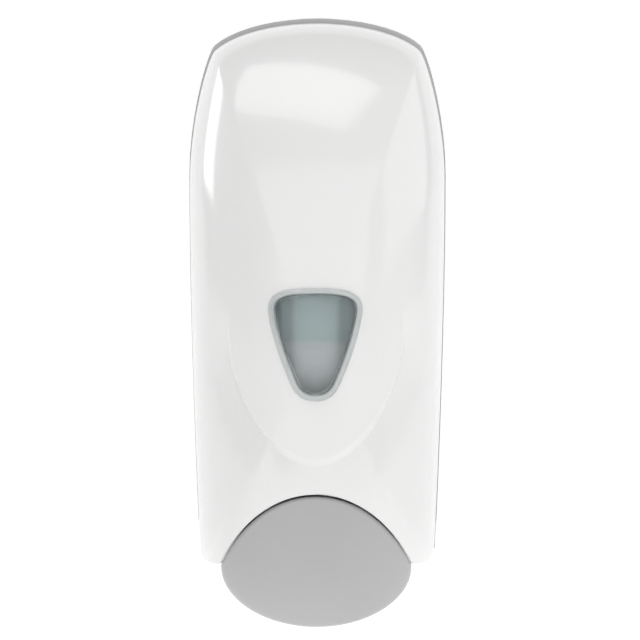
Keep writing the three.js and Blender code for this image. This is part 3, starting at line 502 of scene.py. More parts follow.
def both_sides(half: Array) -> Array:
    """Mirror a right half, given from the top down, into a clockwise loop."""
    left = half[half[:, 0] > 1e-6][::-1] * [-1.0, 1.0]
    return joined([half, left])


def mirrored(parts: Sequence[Array]) -> Array:
    """Join the right half's curves from the top down and mirror them into a clockwise loop."""
    return both_sides(joined([parts[0], *[p[1:] for p in parts[1:]]]))


def inset(loop: Array, distance: float) -> Array:
    """Move a clockwise loop inward.

    Args:
        loop: The loop's points.
        distance: How far in, in millimetres.

    Returns:
        The moved points, one for each.
    """
    into = loop - np.roll(loop, 1, 0)
    out = np.roll(loop, -1, 0) - loop
    into, out = unit(into), unit(out)
    normal = unit(np.stack([into[:, 1] + out[:, 1], -into[:, 0] - out[:, 0]], axis=-1))
    stretch = np.maximum(0.4, normal[:, 0] * into[:, 1] - normal[:, 1] * into[:, 0])
    return loop + normal * (distance / stretch)[:, None]


def lengths(loop: Array) -> tuple[Array, Array]:
    """A loop's points with the first repeated, and how far along the loop each one is."""
    closed = joined([loop, loop[:1]])
    steps = np.linalg.norm(np.diff(closed, axis=0), axis=1)
    return closed, joined([[0.0], np.cumsum(steps)])


def quarter_marks(closed: Array, along: Array, centre: Array) -> list[float]:
    """How far along a clockwise loop its top, right, bottom, left and end are, seen from a centre."""
    offset = closed - centre
    turned = np.unwrap(np.arctan2(offset[:, 0], offset[:, 1])) / (math.pi / 2)
    sides = [float(along[np.argmin(np.abs(turned - k))]) for k in range(1, 4)]
    return [0.0, *sides, float(along[-1])]


def picked(closed: Array, along: Array, at: Array) -> Array:
    """A closed loop's points at distances along it."""
    return np.stack([np.interp(at, along, closed[:, k]) for k in range(2)], axis=-1)


def resampled(loop: Array, count: int) -> Array:
    """A closed loop's points spread evenly along it, from the same start."""
    closed, along = lengths(loop)
    return picked(closed, along, np.linspace(0.0, along[-1], count, endpoint=False))


def matched(loop: Array, centre: Array, fractions: Array) -> Array:
    """Points of a loop at fractions of its four quarters, so that points of two loops pair up.

    Args:
        loop: The clockwise loop, from its top.
        centre: The point that the quarters are seen from.
        fractions: Places from 0 to 4, whole numbers at top, right, bottom and left.

    Returns:
        The points, spread evenly along each quarter.
    """
    closed, along = lengths(loop)
    marks = quarter_marks(closed, along, centre)
    return picked(closed, along, np.interp(fractions, np.arange(5), marks))


def placed(name: str, data: bpy.types.ID) -> Object:
    """An object for some data, linked into the scene."""
    made = bpy.data.objects.new(name, data)
    bpy.context.scene.collection.objects.link(made)
    return made


def smoothed(mesh: bpy.types.Mesh) -> None:
    """Shade every face of a mesh smooth."""
    mesh.polygons.foreach_set("use_smooth", np.ones(len(mesh.polygons), bool))


def eased(value: Array) -> Array:
    """A value held between 0 and 1 and smoothed at both ends."""
    share = np.clip(value, 0.0, 1.0)
    return share**2 * (3 - 2 * share)


def full_turn(count: int) -> Array:
    """Angles spread evenly round a circle."""
    return np.linspace(0.0, 2 * math.pi, count, endpoint=False)


def circle(a: float, b: float, radius: float, turn: Array) -> Array:
    """Points of a circle round (a, b), one for each angle."""
    return np.stack([a + radius * np.cos(turn), b + radius * np.sin(turn)], axis=-1)


def middle_of(node: str) -> Array:
    """The middle of a node's box, in millimetres."""
    lo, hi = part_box(node)
    return (np.array(lo) + np.array(hi)) / 2 / MM


def unit(v: Array) -> Array:
    """Unit vectors."""
    return v / np.linalg.norm(v, axis=-1, keepdims=True)


class Polar:
    """A loop's distance from a centre in any direction."""

    def __init__(self, loop: Array, centre: Sequence[float]) -> None:
        """Sort the loop's points by direction."""
        offset = loop - np.array(centre)
        angle = np.arctan2(offset[:, 1], offset[:, 0])
        order = np.argsort(angle)
        self.angle = angle[order]
        self.reach = np.hypot(offset[:, 0], offset[:, 1])[order]

    def __call__(self, angle: Array) -> Array:
        """The distance in each direction."""
        return np.interp(angle, self.angle, self.reach, period=2 * math.pi)


# ---- the dispenser's shared form


@dataclass
class Form:
    """The outlines and the belly that the visible pieces share, in millimetres."""

    top: float
    side: float
    foot: float
    lowest: float
    rim: float
    belly_depth: float = 89.7
    shoulder_inset: float = 12.0
    shoulder_drop: float = 12.7
    widest_drop: float = 74.0
    foot_inset: float = 4.8
    foot_width: float = 11.2
    runout: float = 16.0
    exponent: float = 2.6
    relief: float = 16.0
    centre: tuple = (0.0, -11.0)
    fine: int = 60
    reach: Polar = field(init=False)

    @classmethod
    def from_frame(cls) -> "Form":
        """Read the form's overall sizes from the frame's cover and lever."""
        lo, hi = (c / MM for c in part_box("front_cover"))
        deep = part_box("back_plate")[0].y / MM
        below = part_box("push_lever")[0].z / MM
        return cls(top=hi.z, side=hi.x, foot=lo.z, lowest=below, rim=deep - 0.3)

    def __post_init__(self) -> None:
        """Measure the belly's outline."""
        self.reach = Polar(self.belly_outline(), self.centre)

    def body_curves(self, top: float, side: float) -> list[Array]:
        """Crown, shoulder and side of the right half, down to the foot."""
        x, z, foot_x = side - self.shoulder_inset, top - self.shoulder_drop, side - self.foot_inset
        wide = top - self.widest_drop
        n = self.fine
        return [
            bezier((0, top), (x * 0.45, top), (x * 0.837, top - 5.5), (x, z), n),
            bezier((x, z), (x + 3.2, z - 2.9), (side, top - 46), (side, wide), n),
            bezier((side, wide), (side, wide - 58), (side - 2.4, self.foot + 52), (foot_x, self.foot), n),
        ]

    def belly_outline(self) -> Array:
        """The cover's rim, carried on below the foot."""
        foot_x, end = self.side - self.foot_inset, self.lowest - self.runout
        under = bezier(
            (foot_x, self.foot), (foot_x - 0.6, self.foot - 23), (foot_x * 0.57, end), (0, end), self.fine
        )
        return mirrored([*self.body_curves(self.top, self.side), under])

    def lever_outline(self, arch_top: float) -> Array:
        """The lever's lens outline under an arch."""
        reach = self.side - self.foot_inset - self.foot_width
        foot, n = self.foot, self.fine
        upper = bezier((0, arch_top), (reach * 0.52, arch_top), (reach * 0.86, foot + 15), (reach, foot), n)
        lower = bezier(
            (reach, foot), (reach + 1.4, foot - 17), (reach * 0.56, self.lowest), (0, self.lowest), n
        )
        return mirrored([upper, lower])

    def depth(self, z: Array) -> Array:
        """How far the belly stands out, less towards the crown."""
        climb = np.maximum(0.0, (z - self.centre[1]) / (self.top + 2.0 - self.centre[1]))
        return self.belly_depth - self.relief * climb**2

    def share(self, x: Array, z: Array) -> Array:
        """The share of the way from the belly's centre to its outline."""
        dx, dz = x - self.centre[0], z - self.centre[1]
        return np.hypot(dx, dz) / self.reach(np.arctan2(dz, dx))

    def surface(self, x: Array, z: Array) -> Array:
        """The belly's y, a superellipse of the share along each direction."""
        share = np.clip(self.share(x, z), 0.0, 1.0)
        rise = (1.0 - share**self.exponent) ** (1.0 / self.exponent)
        return self.rim - self.depth(z) * rise

    def front_at(self, x: float, z: float) -> float:
        """The belly's y at one place."""
        return float(self.surface(np.array(x), np.array(z)))

    def drape(self, loop: Array, behind: Union[float, Array] = 0.0) -> Array:
        """Lay a flat loop of (x, z) on the belly, or some way behind it."""
        x, z = loop[..., 0], loop[..., 1]
        return np.stack([x, self.surface(x, z) + behind, z], axis=-1)


def blocky(angle: Array, power: float) -> tuple[Array, Array]:
    """Cosine and sine of a half turn, squared off to a power for a flat edge with round corners."""
    c, s = np.cos(angle), np.sin(angle)
    return np.sign(c) * np.abs(c) ** power, np.abs(s) ** power


@dataclass
class FrontCover:
    """The white cover: a domed shell with a window hole, an arch and a raised tongue below."""

    form: Form
    wall: float = 2.4
    window_step: float = 2.3
    corner: float = 5.0
    arch_gap: float = 0.9
    columns: int = 432
    rows: int = 26
    crease_half_width: float = 40.0
    crease_drop: float = 56.5
    crease_rise: float = 66.0
    crease_z: float = -3.5
    crease_power: float = 1.75
    crease_depth: float = 3.0
    crease_blend: float = 20.0
    fade_top: float = 8.0
    fade_reach: float = 22.0
    shallow_half: float = 3.0
    shallow_reach: float = 16.0
    facet_top: float = -26.0
    facet_reach: float = 28.0
    facet_growth: float = 2.2
    rim_share: float = 0.93
    edge_radius: float = 0.9
    pin_bore: float = 2.15
    lobe_radius: float = 6.8
    lobe_inset: float = 4.9
    lobe_width: float = 4.1
    bracket_radius: float = 5.4
    bracket_x: tuple = (24.0, 27.0)
    tongue_x: tuple = (5.0, 14.0)
    tongue_wall: float = 2.5
    tongue_drop: float = 3.6

    def boundary(self, arch_top: float) -> Array:
        """The cover's outer edge seen from the front: rim, round foot corner, foot and arch."""
        f = self.form
        foot_x = f.side - f.foot_inset + 0.4
        upper = joined([c[1:] if i else c for i, c in enumerate(f.body_curves(f.top, f.side))])
        upper = upper[upper[:, 1] > f.foot + self.corner + 2.0]
        start = (float(upper[-1, 0]), float(upper[-1, 1]))
        end = (foot_x - self.corner, f.foot)
        turn = bezier(start, (foot_x - 0.3, f.foot + 2.4), (foot_x - 2.6, f.foot), end, 16)
        arch = inset(f.lever_outline(arch_top), -self.arch_gap)
        arch = arch[(arch[:, 0] >= -1e-6) & (arch[:, 1] > f.foot)][::-1]
        edge = np.array([[arch[0, 0] + (arch[0, 0] - arch[1, 0]) * 0.2, f.foot]])
        return both_sides(joined([upper, turn[1:], edge, arch]))

    def crease_loop(self) -> Array:
        """The line that the tongue's edge follows, closed above the window."""
        turn = math.pi / 2 - np.linspace(0.0, 2 * math.pi, 720, endpoint=False)
        power = 2.0 / self.crease_power
        c, s = np.cos(turn), np.sin(turn)
        x = np.sign(c) * np.abs(c) ** power * self.crease_half_width
        reach = np.where(s < 0, self.crease_drop, self.crease_rise)
        return np.stack([x, self.crease_z + np.sign(s) * np.abs(s) ** power * reach], axis=-1)

    def _quarters(self, boundary: Array, centre: Array) -> Array:
        """Places around the loops, in quarters, that spread evenly along the outer edge."""
        closed, along = lengths(boundary)
        at = np.linspace(0.0, along[-1], self.columns, endpoint=False)
        return np.interp(at, quarter_marks(closed, along, centre), np.arange(5))

    def sink(self, z: Array, x: Array) -> Array:
        """How deep the step along the crease is at a place, fading upward and at the middle."""
        upward = eased((self.fade_top - z) / self.fade_reach)
        side = eased((np.abs(x) - self.shallow_half) / self.shallow_reach)
        return self.crease_depth * upward * (0.25 + 0.75 * side)

    def outer(self, window: Array, boundary: Array) -> Array:
        """The cover's face as a polar grid, with rows that follow the crease.

        Rows run from the window's edge to the crease, cross it at fixed distances and go on to the
        outer edge. Outside the crease the face is stepped down by sink() and eases back to the belly.

        Args:
            window: The window hole's loop.
            boundary: The outer edge's loop.

        Returns:
            The grid, row by row outward.
        """
        f = self.form
        centre = np.array(f.centre)
        quarters = self._quarters(boundary, centre)
        hole, line, edge = (matched(p, centre, quarters) for p in (window, self.crease_loop(), boundary))
        gauge = f.share(edge[:, 0], edge[:, 1])
        rim = (gauge > self.rim_share) & (edge[:, 1] > f.foot + self.corner + 2.0)
        edge = np.where(rim[:, None], centre + (edge - centre) / gauge[:, None] * (1 + 1e-6), edge)
        reach = np.linalg.norm(edge - line, axis=1)
        onto = (edge - line) / reach[:, None]
        lower = np.clip((self.facet_top - line[:, 1]) / self.facet_reach, 0.0, 1.0)
        facet = 1.0 + self.facet_growth * lower
        steps = np.array([0.0, 0.06, 0.2, 0.4, 0.6, 0.8, 0.94, 1.0, 1.15, 1.5, 2.0])[:, None]
        inside = np.linspace(0.0, 1.0, self.rows)[:-1, None, None]
        lead = hole + (line - hole) * (1.0 - (1.0 - inside) ** 1.15)
        across = line + (steps * facet)[..., None] * onto
        power = f.exponent / 2.0
        start, end = (np.clip(f.share(q[:, 0], q[:, 1]), 0, 1) for q in (across[-1], edge))
        t0, t1 = np.arcsin(start**power), np.arcsin(end**power)
        onward = np.linspace(0.0, 1.0, self.rows + 16)[1:, None]
        gone = (np.sin(t0 + (t1 - t0) * onward) ** (1.0 / power) - start) / (end - start)
        rest = across[-1] + gone[..., None] * (edge - across[-1])
        flat = joined([lead, across, rest])
        beyond = np.einsum("rcd,cd->rc", flat - line, onto)
        beyond[: self.rows - 1] = np.minimum(beyond[: self.rows - 1], 0.0)
        fall = np.clip(beyond / facet, 0.0, 1.0)
        fall = fall * 0.8 + 0.2 * eased(fall)
        back = 1.0 - eased((beyond - facet) / np.minimum(self.crease_blend, reach - facet - 2.0))
        return f.drape(flat, fall * back * self.sink(line[:, 1], line[:, 0]))

    def shell(self, outer: Array) -> Array:
        """Thicken the face's grid into a closed section with softly squared edges.

        Args:
            outer: The face's grid.

        Returns:
            The closed grid: face, outer edge, inside and window edge.
        """
        down = np.gradient(outer, axis=0)
        around = (np.roll(outer, -1, 1) - np.roll(outer, 1, 1)) / 2.0
        normal = unit(np.cross(down, around))
        if normal[self.rows, :, 1].mean() > 0:
            normal = -normal
        inner = outer - normal * self.wall
        turn = np.linspace(0.0, math.pi, 11)[1:-1]
        depth, out = blocky(turn, 0.62)
        out = out[:, None, None] * self.edge_radius
        slip = (1.0 - depth)[:, None, None] * self.wall / 2.0

        def edge(row: int, step: int) -> Array:
            """The rolled edge beside one end row."""
            tangent = unit(outer[row] - outer[row + step])
            return outer[row] - normal[row] * slip + tangent * (out - self.edge_radius)

        trimmed, under = outer.copy(), inner.copy()
        for row, step in ((-1, -1), (0, 1)):
            pull = self.edge_radius * unit(outer[row] - outer[row + step])
            trimmed[row] -= pull
            under[row] -= pull
        return joined([trimmed, edge(-1, -1), under[::-1], edge(0, 1)[::-1]])

    def make(self, window: Array, arch_top: float) -> Object:
        """Build the cover with its hinge lobes, pivot brackets and latch tongue.

        Args:
            window: The window's outline.
            arch_top: The height of the lever's arch.

        Returns:
            The cover.
        """
        hole = inset(window, self.window_step)
        face = self.outer(hole, self.boundary(arch_top))
        shell = Shell().ring(self.shell(face))
        for side in (-1.0, 1.0):
            shell.ring(self._lobe(side))
            shell.ring(self._bracket(side))
        for part in self._tongue():
            shell.capped(part)
        return dress(shell.build("cover_shell"), Slot.WHITE, Body.COVER, "front_cover")

    def _eye(self, loop: Array, hole: Array, x0: float, x1: float, soft: float = 0.4) -> Array:
        """A plate across X with a round hole, as a closed grid with softened edges.

        Args:
            loop, hole: The outlines of the plate and its hole as (y, z), point for point.
            x0, x1: The faces' x.
            soft: The edges' chamfer.

        Returns:
            The closed grid.
        """
        middle = hole.mean(0)

        def at(points: Array, x: float) -> Array:
            """The loop at an x."""
            return np.stack([np.full(len(points), x), points[:, 0], points[:, 1]], axis=-1)

        pulled = loop + unit(middle - loop) * soft
        in_x = math.copysign(soft, x1 - x0)
        section = (
            (loop, x0 + in_x), (loop, x1 - in_x), (pulled, x1), (hole, x1), (hole, x0), (pulled, x0),
        )
        return np.stack([at(points, x) for points, x in section])

    def _lobe(self, side: float) -> Array:
        """A hinge lobe inside the cover's side wall, bored for its pin."""
        r = self.lobe_radius
        _, y, z = middle_of("hinge_pin_right" if side > 0 else "hinge_pin_left")
        outer_x = self.form.side - self.lobe_inset
        turn = full_turn(96)
        loop = circle(y, z, r, turn)
        ahead = (turn > math.pi / 2) & (turn < 1.5 * math.pi)
        square = y - r * 1.05 * np.abs(np.cos(turn[ahead])) ** 0.3
        loop[ahead, 0] = np.minimum(loop[ahead, 0], square)
        hole = circle(y, z, self.pin_bore, turn)
        return self._eye(loop, hole, side * (outer_x - self.lobe_width), side * outer_x)

    def _bracket(self, side: float) -> Array:
        """A bracket from the cover's front wall that carries the lever's pivot pin."""
        _, y, z = middle_of("lever_pivot_pin")
        x0, x1 = self.bracket_x
        front = self.form.front_at(x1, z) + self.wall / 2
        turn = full_turn(96)
        loop = circle(y, z, self.bracket_radius, turn)
        ahead = np.cos(turn) < 0
        c, s = np.cos(turn[ahead]), np.sin(turn[ahead])
        loop[ahead, 0] = y - (y - front) * np.abs(c) ** 0.25
        loop[ahead, 1] = z + self.bracket_radius * np.sign(s) * np.abs(s) ** 0.25
        return self._eye(loop, circle(y, z, self.pin_bore, turn), side * x0, side * x1)

    def _tongue(self) -> list[Array]:
        """The latch tongue under the roof: web, tongue and rib as soft-edged bars."""
        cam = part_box("lock_cam")
        (left, right), wall = self.tongue_x, self.tongue_wall
        top, roof = cam[0].z / MM - self.tongue_drop, self.form.top - 1.0
        web, rib = self.form.rim - 4.5, cam[1].y / MM + 0.8
        return [
            soft_bar((left, web, top - wall), (right, web + wall, roof)),
            soft_bar((left, web + 0.2, top - wall + 0.05), (right, rib + wall, top)),
            soft_bar((left, rib, top - wall + 0.1), (right, rib + wall, cam[1].z / MM)),
        ]


def soft_bar(low: Sequence[float], high: Sequence[float], soft: float = 0.45) -> Array:
    """A rectangular bar along Z with softened edges.

    Args:
        low: Its lowest corner.
        high: Its highest corner.
        soft: The edges' radius.

    Returns:
        A grid for Shell.capped, ring by ring upward.
    """
    lo, hi = np.array(low, float), np.array(high, float)
    corner = np.linspace(0.0, math.pi / 2, 4)
    signs = np.array([[1, 1], [-1, 1], [-1, -1], [1, -1]], float)
    middle, half = (lo + hi) / 2, (hi - lo) / 2
    centres = signs * (half[:2] - soft)
    loop = joined([circle(cx, cy, soft, corner + i * math.pi / 2) for i, (cx, cy) in enumerate(centres)])
    sizes = [(soft, lo[2]), (soft * 0.3, lo[2] + soft * 0.3), (0.0, lo[2] + soft)]
    sizes += [(s, hi[2] - (z - lo[2])) for s, z in sizes[::-1]]
    grid = []
    for shrink, z in sizes:
        scale = 1.0 - shrink / np.maximum(half[:2], 1e-6)
        flat = loop * scale + middle[:2]
        grid.append(np.column_stack([flat, np.full(len(flat), z)]))
    return np.stack(grid)


@dataclass
class WindowLens:
    """The clear window: a pane in a raised rounded rim, a collar through the cover, two hooks."""

    form: Form
    rim_width: float = 3.4
    rim_height: float = 1.4
    tip_radius: float = 10.4
    hook_x: float = 9.0
    hook_depth: float = 3.07
    columns: int = 260
    outline: Array = field(init=False)

    def __post_init__(self) -> None:
        """Draw the window's outline from the frame's lens."""
        lo, hi = (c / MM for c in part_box("window_lens"))
        w, top, bottom, r = hi.x, hi.z, lo.z, self.tip_radius
        corner, tip = top - 10.0, bottom + r * 0.58
        loop = mirrored(
            [
                bezier((0, top), (w * 0.5, top), (w * 0.68, top - 1), (w * 0.78, top - 2.2), 40),
                bezier((w * 0.78, top - 2.2), (w * 0.93, top - 4), (w, top - 6), (w, corner), 40),
                bezier((w, corner), (w - 1, corner - 11), (r + 4.2, tip + 9), (r, tip), 40),
                bezier((r, tip), (r - 2.6, bottom + 1.8), (4.6, bottom), (0, bottom), 40),
            ]
        )
        self.outline = resampled(loop, self.columns)

    def make(self) -> Object:
        """Build the window."""
        f = self.form
        centre = np.array([0.0, (self.outline[:, 1].max() + self.outline[:, 1].min()) / 2])
        h, w = self.rim_height, self.rim_width
        section = [
            (w, 0.20), (w - 0.12, 0.05), (w - 0.22, -0.5), (w - 0.4, -h * 0.8), (w - 0.8, -h * 0.97),
            (w - 1.3, -h), (1.1, -h * 0.97), (0.55, -h * 0.85), (0.2, -h * 0.6), (0.0, -0.45),
            (0.12, -0.32), (2.5, -0.3), (2.6, -0.1), (2.6, 4.4), (2.75, 4.6), (3.45, 4.6), (3.6, 4.4),
            (3.6, 2.3),
        ]
        pane_edge = inset(self.outline, w)
        pane = [f.drape(centre + (pane_edge - centre) * s, 0.2) for s in np.linspace(0.04, 0.98, 18)]
        rings = [f.drape(inset(self.outline, i), d) for i, d in section]
        inner = inset(self.outline, 3.6)
        back = [f.drape(centre + (inner - centre) * s, 2.2) for s in np.linspace(0.98, 0.04, 18)]
        shell = Shell().capped(np.stack([*pane, *rings, *back]))
        top = self.outline[:, 1].max() - 2.6
        for x in (-self.hook_x, self.hook_x):
            y = f.front_at(x, top) + self.hook_depth
            shell.capped(soft_bar((x - 2.5, y, top - 3.0), (x + 2.5, y + 1.6, top + 1.2), 0.3))
        return dress(shell.build("sight_window", 40.0), Slot.LENS, Body.COVER, "window_lens")


@dataclass
class PushLever:
    """The grey push lever: a domed plate with a bevelled edge, a deep flange and two bosses."""

    form: Form
    recess: float = 0.8
    wall: float = 3.0
    flange: float = 11.0
    flange_wall: float = 2.4
    columns: int = 320
    boss_radius: float = 4.2
    bore: float = 1.8

    def make(self, arch_top: float) -> Object:
        """Build the lever under its arch."""
        f = self.form
        outline = resampled(f.lever_outline(arch_top), self.columns)
        centre = np.array([0.0, f.foot])
        r = self.recess
        face = inset(outline, 1.5)
        rings = [f.drape(centre + (face - centre) * s, r) for s in np.linspace(0.02, 1.0, 40)]
        for i, d in ((1.3, 0.02), (1.05, 0.12), (0.6, 0.42), (0.25, 0.8), (0.06, 1.3), (0.0, 1.9)):
            rings.append(f.drape(inset(outline, i), r + d))
        for d in (self.flange * 0.5, self.flange - 0.5):
            rings.append(f.drape(outline, r + d))
        for i, d in ((0.15, 0.12), (0.5, 0.0), (self.flange_wall - 0.4, 0.0), (self.flange_wall, -0.4)):
            rings.append(f.drape(inset(outline, i), r + self.flange + d - 0.12))
        inner = inset(outline, self.flange_wall)
        rings.append(f.drape(inner, r + self.wall + 1.0))
        back = inset(outline, self.flange_wall + 1.0)
        rings += [f.drape(centre + (back - centre) * s, r + self.wall) for s in np.linspace(1.0, 0.02, 24)]
        shell = Shell().capped(np.stack(rings))
        self._bosses(shell)
        return dress(shell.build("push_plate"), Slot.LEVER, Body.LEVER, "push_lever")

    def _bosses(self, shell: Shell) -> None:
        """Add the two screw bosses behind the plate, each a tube along Y."""
        turn = full_turn(48)
        for name in ("yoke_screw_left", "yoke_screw_right"):
            x, _, z = middle_of(name)
            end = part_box("lever_yoke")[0].y / MM - 0.3
            start = self.form.front_at(x, z) + self.recess + 1.4
            r, b = self.boss_radius, self.bore
            outside = ((r, start), (r, end - 0.4), (r - 0.4, end))
            section = (*outside, (b + 0.3, end), (b, end - 0.3), (b, start))
            shell.ring(np.stack([np.insert(circle(x, z, q, turn), 1, y, axis=1) for q, y in section]))


@dataclass
class Bottle:
    """The refillable bottle: a crowned body with a raised sight band, painted shade on its sides, and its
    two necks.
    """

    form: Form
    bend_share: float = 0.25
    shoulder_share: float = 0.66
    lean_share: float = 0.24
    strip_half: float = 10.5
    strip_edge: float = 2.6
    strip_rise: float = 1.1
    neck_radius: float = 14.6
    mouth_radius: float = 18.5
    neck_wall: float = 2.2
    mouth_height: float = 11.0

    def make(self) -> Object:
        """Build the bottle."""
        lo, hi = (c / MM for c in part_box("reservoir_bottle"))
        floor, top = lo.z + 14.0, hi.z - self.mouth_height
        side, front, rear = hi.x, lo.y, hi.y
        shell = Shell().capped(self._body(side, front, rear, floor, top))
        y = middle_of("pump_collar")[1]
        n, m, w = self.neck_radius, self.mouth_radius, self.neck_wall
        shell.ring(self._tube(y, n - w, n, lo.z, floor + 3.0))
        shell.ring(self._tube(y, m - w, m, top - 3.0, hi.z))
        made = shell.build("soap_bottle", 40.0)
        x = joined(shell.points)[:, 0]
        # Mask of the sight band, where the bottle's material paints no shade; off it the sides get painted
        # shade.
        unshaded_band = np.clip((self.strip_half + self.strip_edge / 2 - np.abs(x)) / self.strip_edge, 0, 1)
        made.data.attributes.new("unshaded_band", "FLOAT", "POINT").data.foreach_set("value", unshaded_band)
        return dress(made, Slot.BOTTLE, Body.HOUSING, "reservoir_bottle")

    def _body(self, side: float, front: float, rear: float, floor: float, top: float) -> Array:
        """Level rings of the body.

        Each ring is the plan narrowed to the face's half-width and the side's depth at its height.

        Args:
            side, front, rear: The body's half-width and its foremost and rearmost y.
            floor, top: Its lowest and highest z.

        Returns:
            The grid, ring by ring upward.
        """
        f = self.form
        bend = f.belly_depth * self.bend_share
        crown = f.top + 2.0 - f.centre[1]
        shoulder, lean = side * self.shoulder_share, crown * self.lean_share
        inner, bent = side - shoulder, front + bend
        low = bezier((side - 8, floor), (side - 2, floor), (side, floor + 2), (side, floor + 8), 12)
        high = bezier(
            (side, top - shoulder),
            (side, top - shoulder * 0.4),
            (side - shoulder / 3, top),
            (inner + 6, top),
            30,
        )
        face = joined([low, high])
        low = bezier((front + 24, floor), (front + 7, floor), (front, floor + 7), (front, floor + 24), 16)
        high = bezier(
            (front, top - lean * 2), (front + 2, top - lean), (bent, top), (bent + bend * 0.6, top), 40
        )
        profile = joined([low, high])
        ahead = bezier((0, front), (side * 0.575, front), (side, bent), (side, bent + bend * 1.15), 60)
        behind = bezier((side, rear - 8), (side, rear - 2), (side - 2, rear), (side - 8, rear), 10)
        plan = joined([ahead, behind])
        left = plan[::-1][:-1] * [-1.0, 1.0]
        loop = resampled(joined([plan, left]), 240)
        lift = np.linspace(0.0, math.pi, 90)
        z = (floor + top) / 2 - (top - floor) / 2 * np.sign(np.cos(lift)) * np.abs(np.cos(lift)) ** 0.7
        width = np.interp(z, face[:, 1], face[:, 0]) / side
        depth = (rear - np.interp(z, profile[:, 1], profile[:, 0])) / (rear - front)
        x = loop[None, :, 0] * width[:, None]
        y = rear + (loop[None, :, 1] - rear) * depth[:, None]
        ahead = np.clip((front + 40 - loop[None, :, 1]) / 20, 0, 1)
        y = y + ahead * self.strip_rise * eased((np.abs(x) - self.strip_half) / self.strip_edge)
        return np.stack([x, y, np.repeat(z[:, None], x.shape[1], 1)], axis=-1)

    @staticmethod
    def _tube(y: float, inner: float, outer: float, low: float, high: float) -> Array:
        """An upright tube with softened ends, as a closed grid."""
        turn = full_turn(96)
        section = [
            (outer, low + 0.4), (outer, high - 0.4), (outer - 0.4, high), (inner + 0.4, high),
            (inner, high - 0.4), (inner, low + 0.4), (inner + 0.4, low), (outer - 0.4, low),
        ]
        return np.stack([np.insert(circle(0.0, y, r, turn), 2, z, axis=1) for r, z in section])


# ---- parts carried over


@dataclass(frozen=True)
class Carried:
    """A part whose shape comes from the frame, redrawn with round faces shaded smooth."""

    node: str
    slot: Slot
    body: Body
    crease: float = 34.0

    def make(self) -> Object:
        """Copy the node's mesh, weld it and shade it."""
        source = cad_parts[self.node].data
        count = len(source.vertices)
        points = np.empty(count * 3, np.float32)
        source.vertices.foreach_get("co", points)
        points = points.reshape(-1, 3)
        _, place, back = np.unique(np.round(points, 6), axis=0, return_index=True, return_inverse=True)
        corners = np.empty(len(source.loops), np.int32)
        source.loops.foreach_get("vertex_index", corners)
        faces = back.ravel()[corners].reshape(-1, 3)
        whole = (faces[:, 0] != faces[:, 1]) & (faces[:, 1] != faces[:, 2]) & (faces[:, 2] != faces[:, 0])
        mesh = bpy.data.meshes.new(self.node + "_part")
        mesh.from_pydata(points[place].tolist(), [], faces[whole].tolist())
        smoothed(mesh)
        mesh.update()
        mesh.set_sharp_from_angle(angle=math.radians(self.crease))
        return dress(placed(self.node + "_part", mesh), self.slot, self.body, self.node)


CARRIED: tuple[tuple[Slot, Body, str], ...] = (
    (Slot.SHELL, Body.HOUSING, "back_plate reservoir_shelf"),
    (
        Slot.STEEL,
        Body.HOUSING,
        "shelf_screw_left shelf_screw_right hinge_pin_left "
        "hinge_pin_right lock_sleeve lock_nut",
    ),
    (Slot.NATURAL, Body.HOUSING, "pump_collar"),
    (Slot.RUBBER, Body.HOUSING, "pump_gasket"),
    (Slot.NATURAL, Body.HOUSING, "pump_cylinder"),
    (Slot.RUBBER, Body.HOUSING, "inlet_valve"),
    (Slot.NATURAL, Body.HOUSING, "cylinder_cap"),
    (Slot.NATURAL, Body.PUMP, "pump_nozzle pump_stem piston"),
    (Slot.RUBBER, Body.PUMP, "piston_seal outlet_valve"),
    (Slot.STEEL, Body.COVER, "lever_pivot_pin pivot_clip_left pivot_clip_right"),
    (Slot.BLACK, Body.LEVER, "lever_yoke"),
    (Slot.STEEL, Body.LEVER, "yoke_screw_left yoke_screw_right"),
    (Slot.STEEL, Body.LOCK, "lock_barrel lock_cam cam_screw"),
    (Slot.NATURAL, Body.FILLER, "fill_cap"),
    (Slot.RUBBER, Body.FILLER, "cap_seal"),
)


# ---- studio


@dataclass(frozen=True)
class Softbox:
    """A rectangular studio light aimed at a point."""

    name: str
    place: tuple
    aim: tuple
    width: float
    height: float
    power: float

    def make(self) -> Object:
        """Build the light."""
        data = bpy.data.lights.new(self.name, "AREA")
        data.shape = "RECTANGLE"
        data.size, data.size_y, data.energy = self.width, self.height, self.power
        made = placed(self.name, data)
        made.location = self.place
        towards = Vector(self.aim) - Vector(self.place)
        made.rotation_euler = towards.to_track_quat("-Z", "Y").to_euler()
        return made


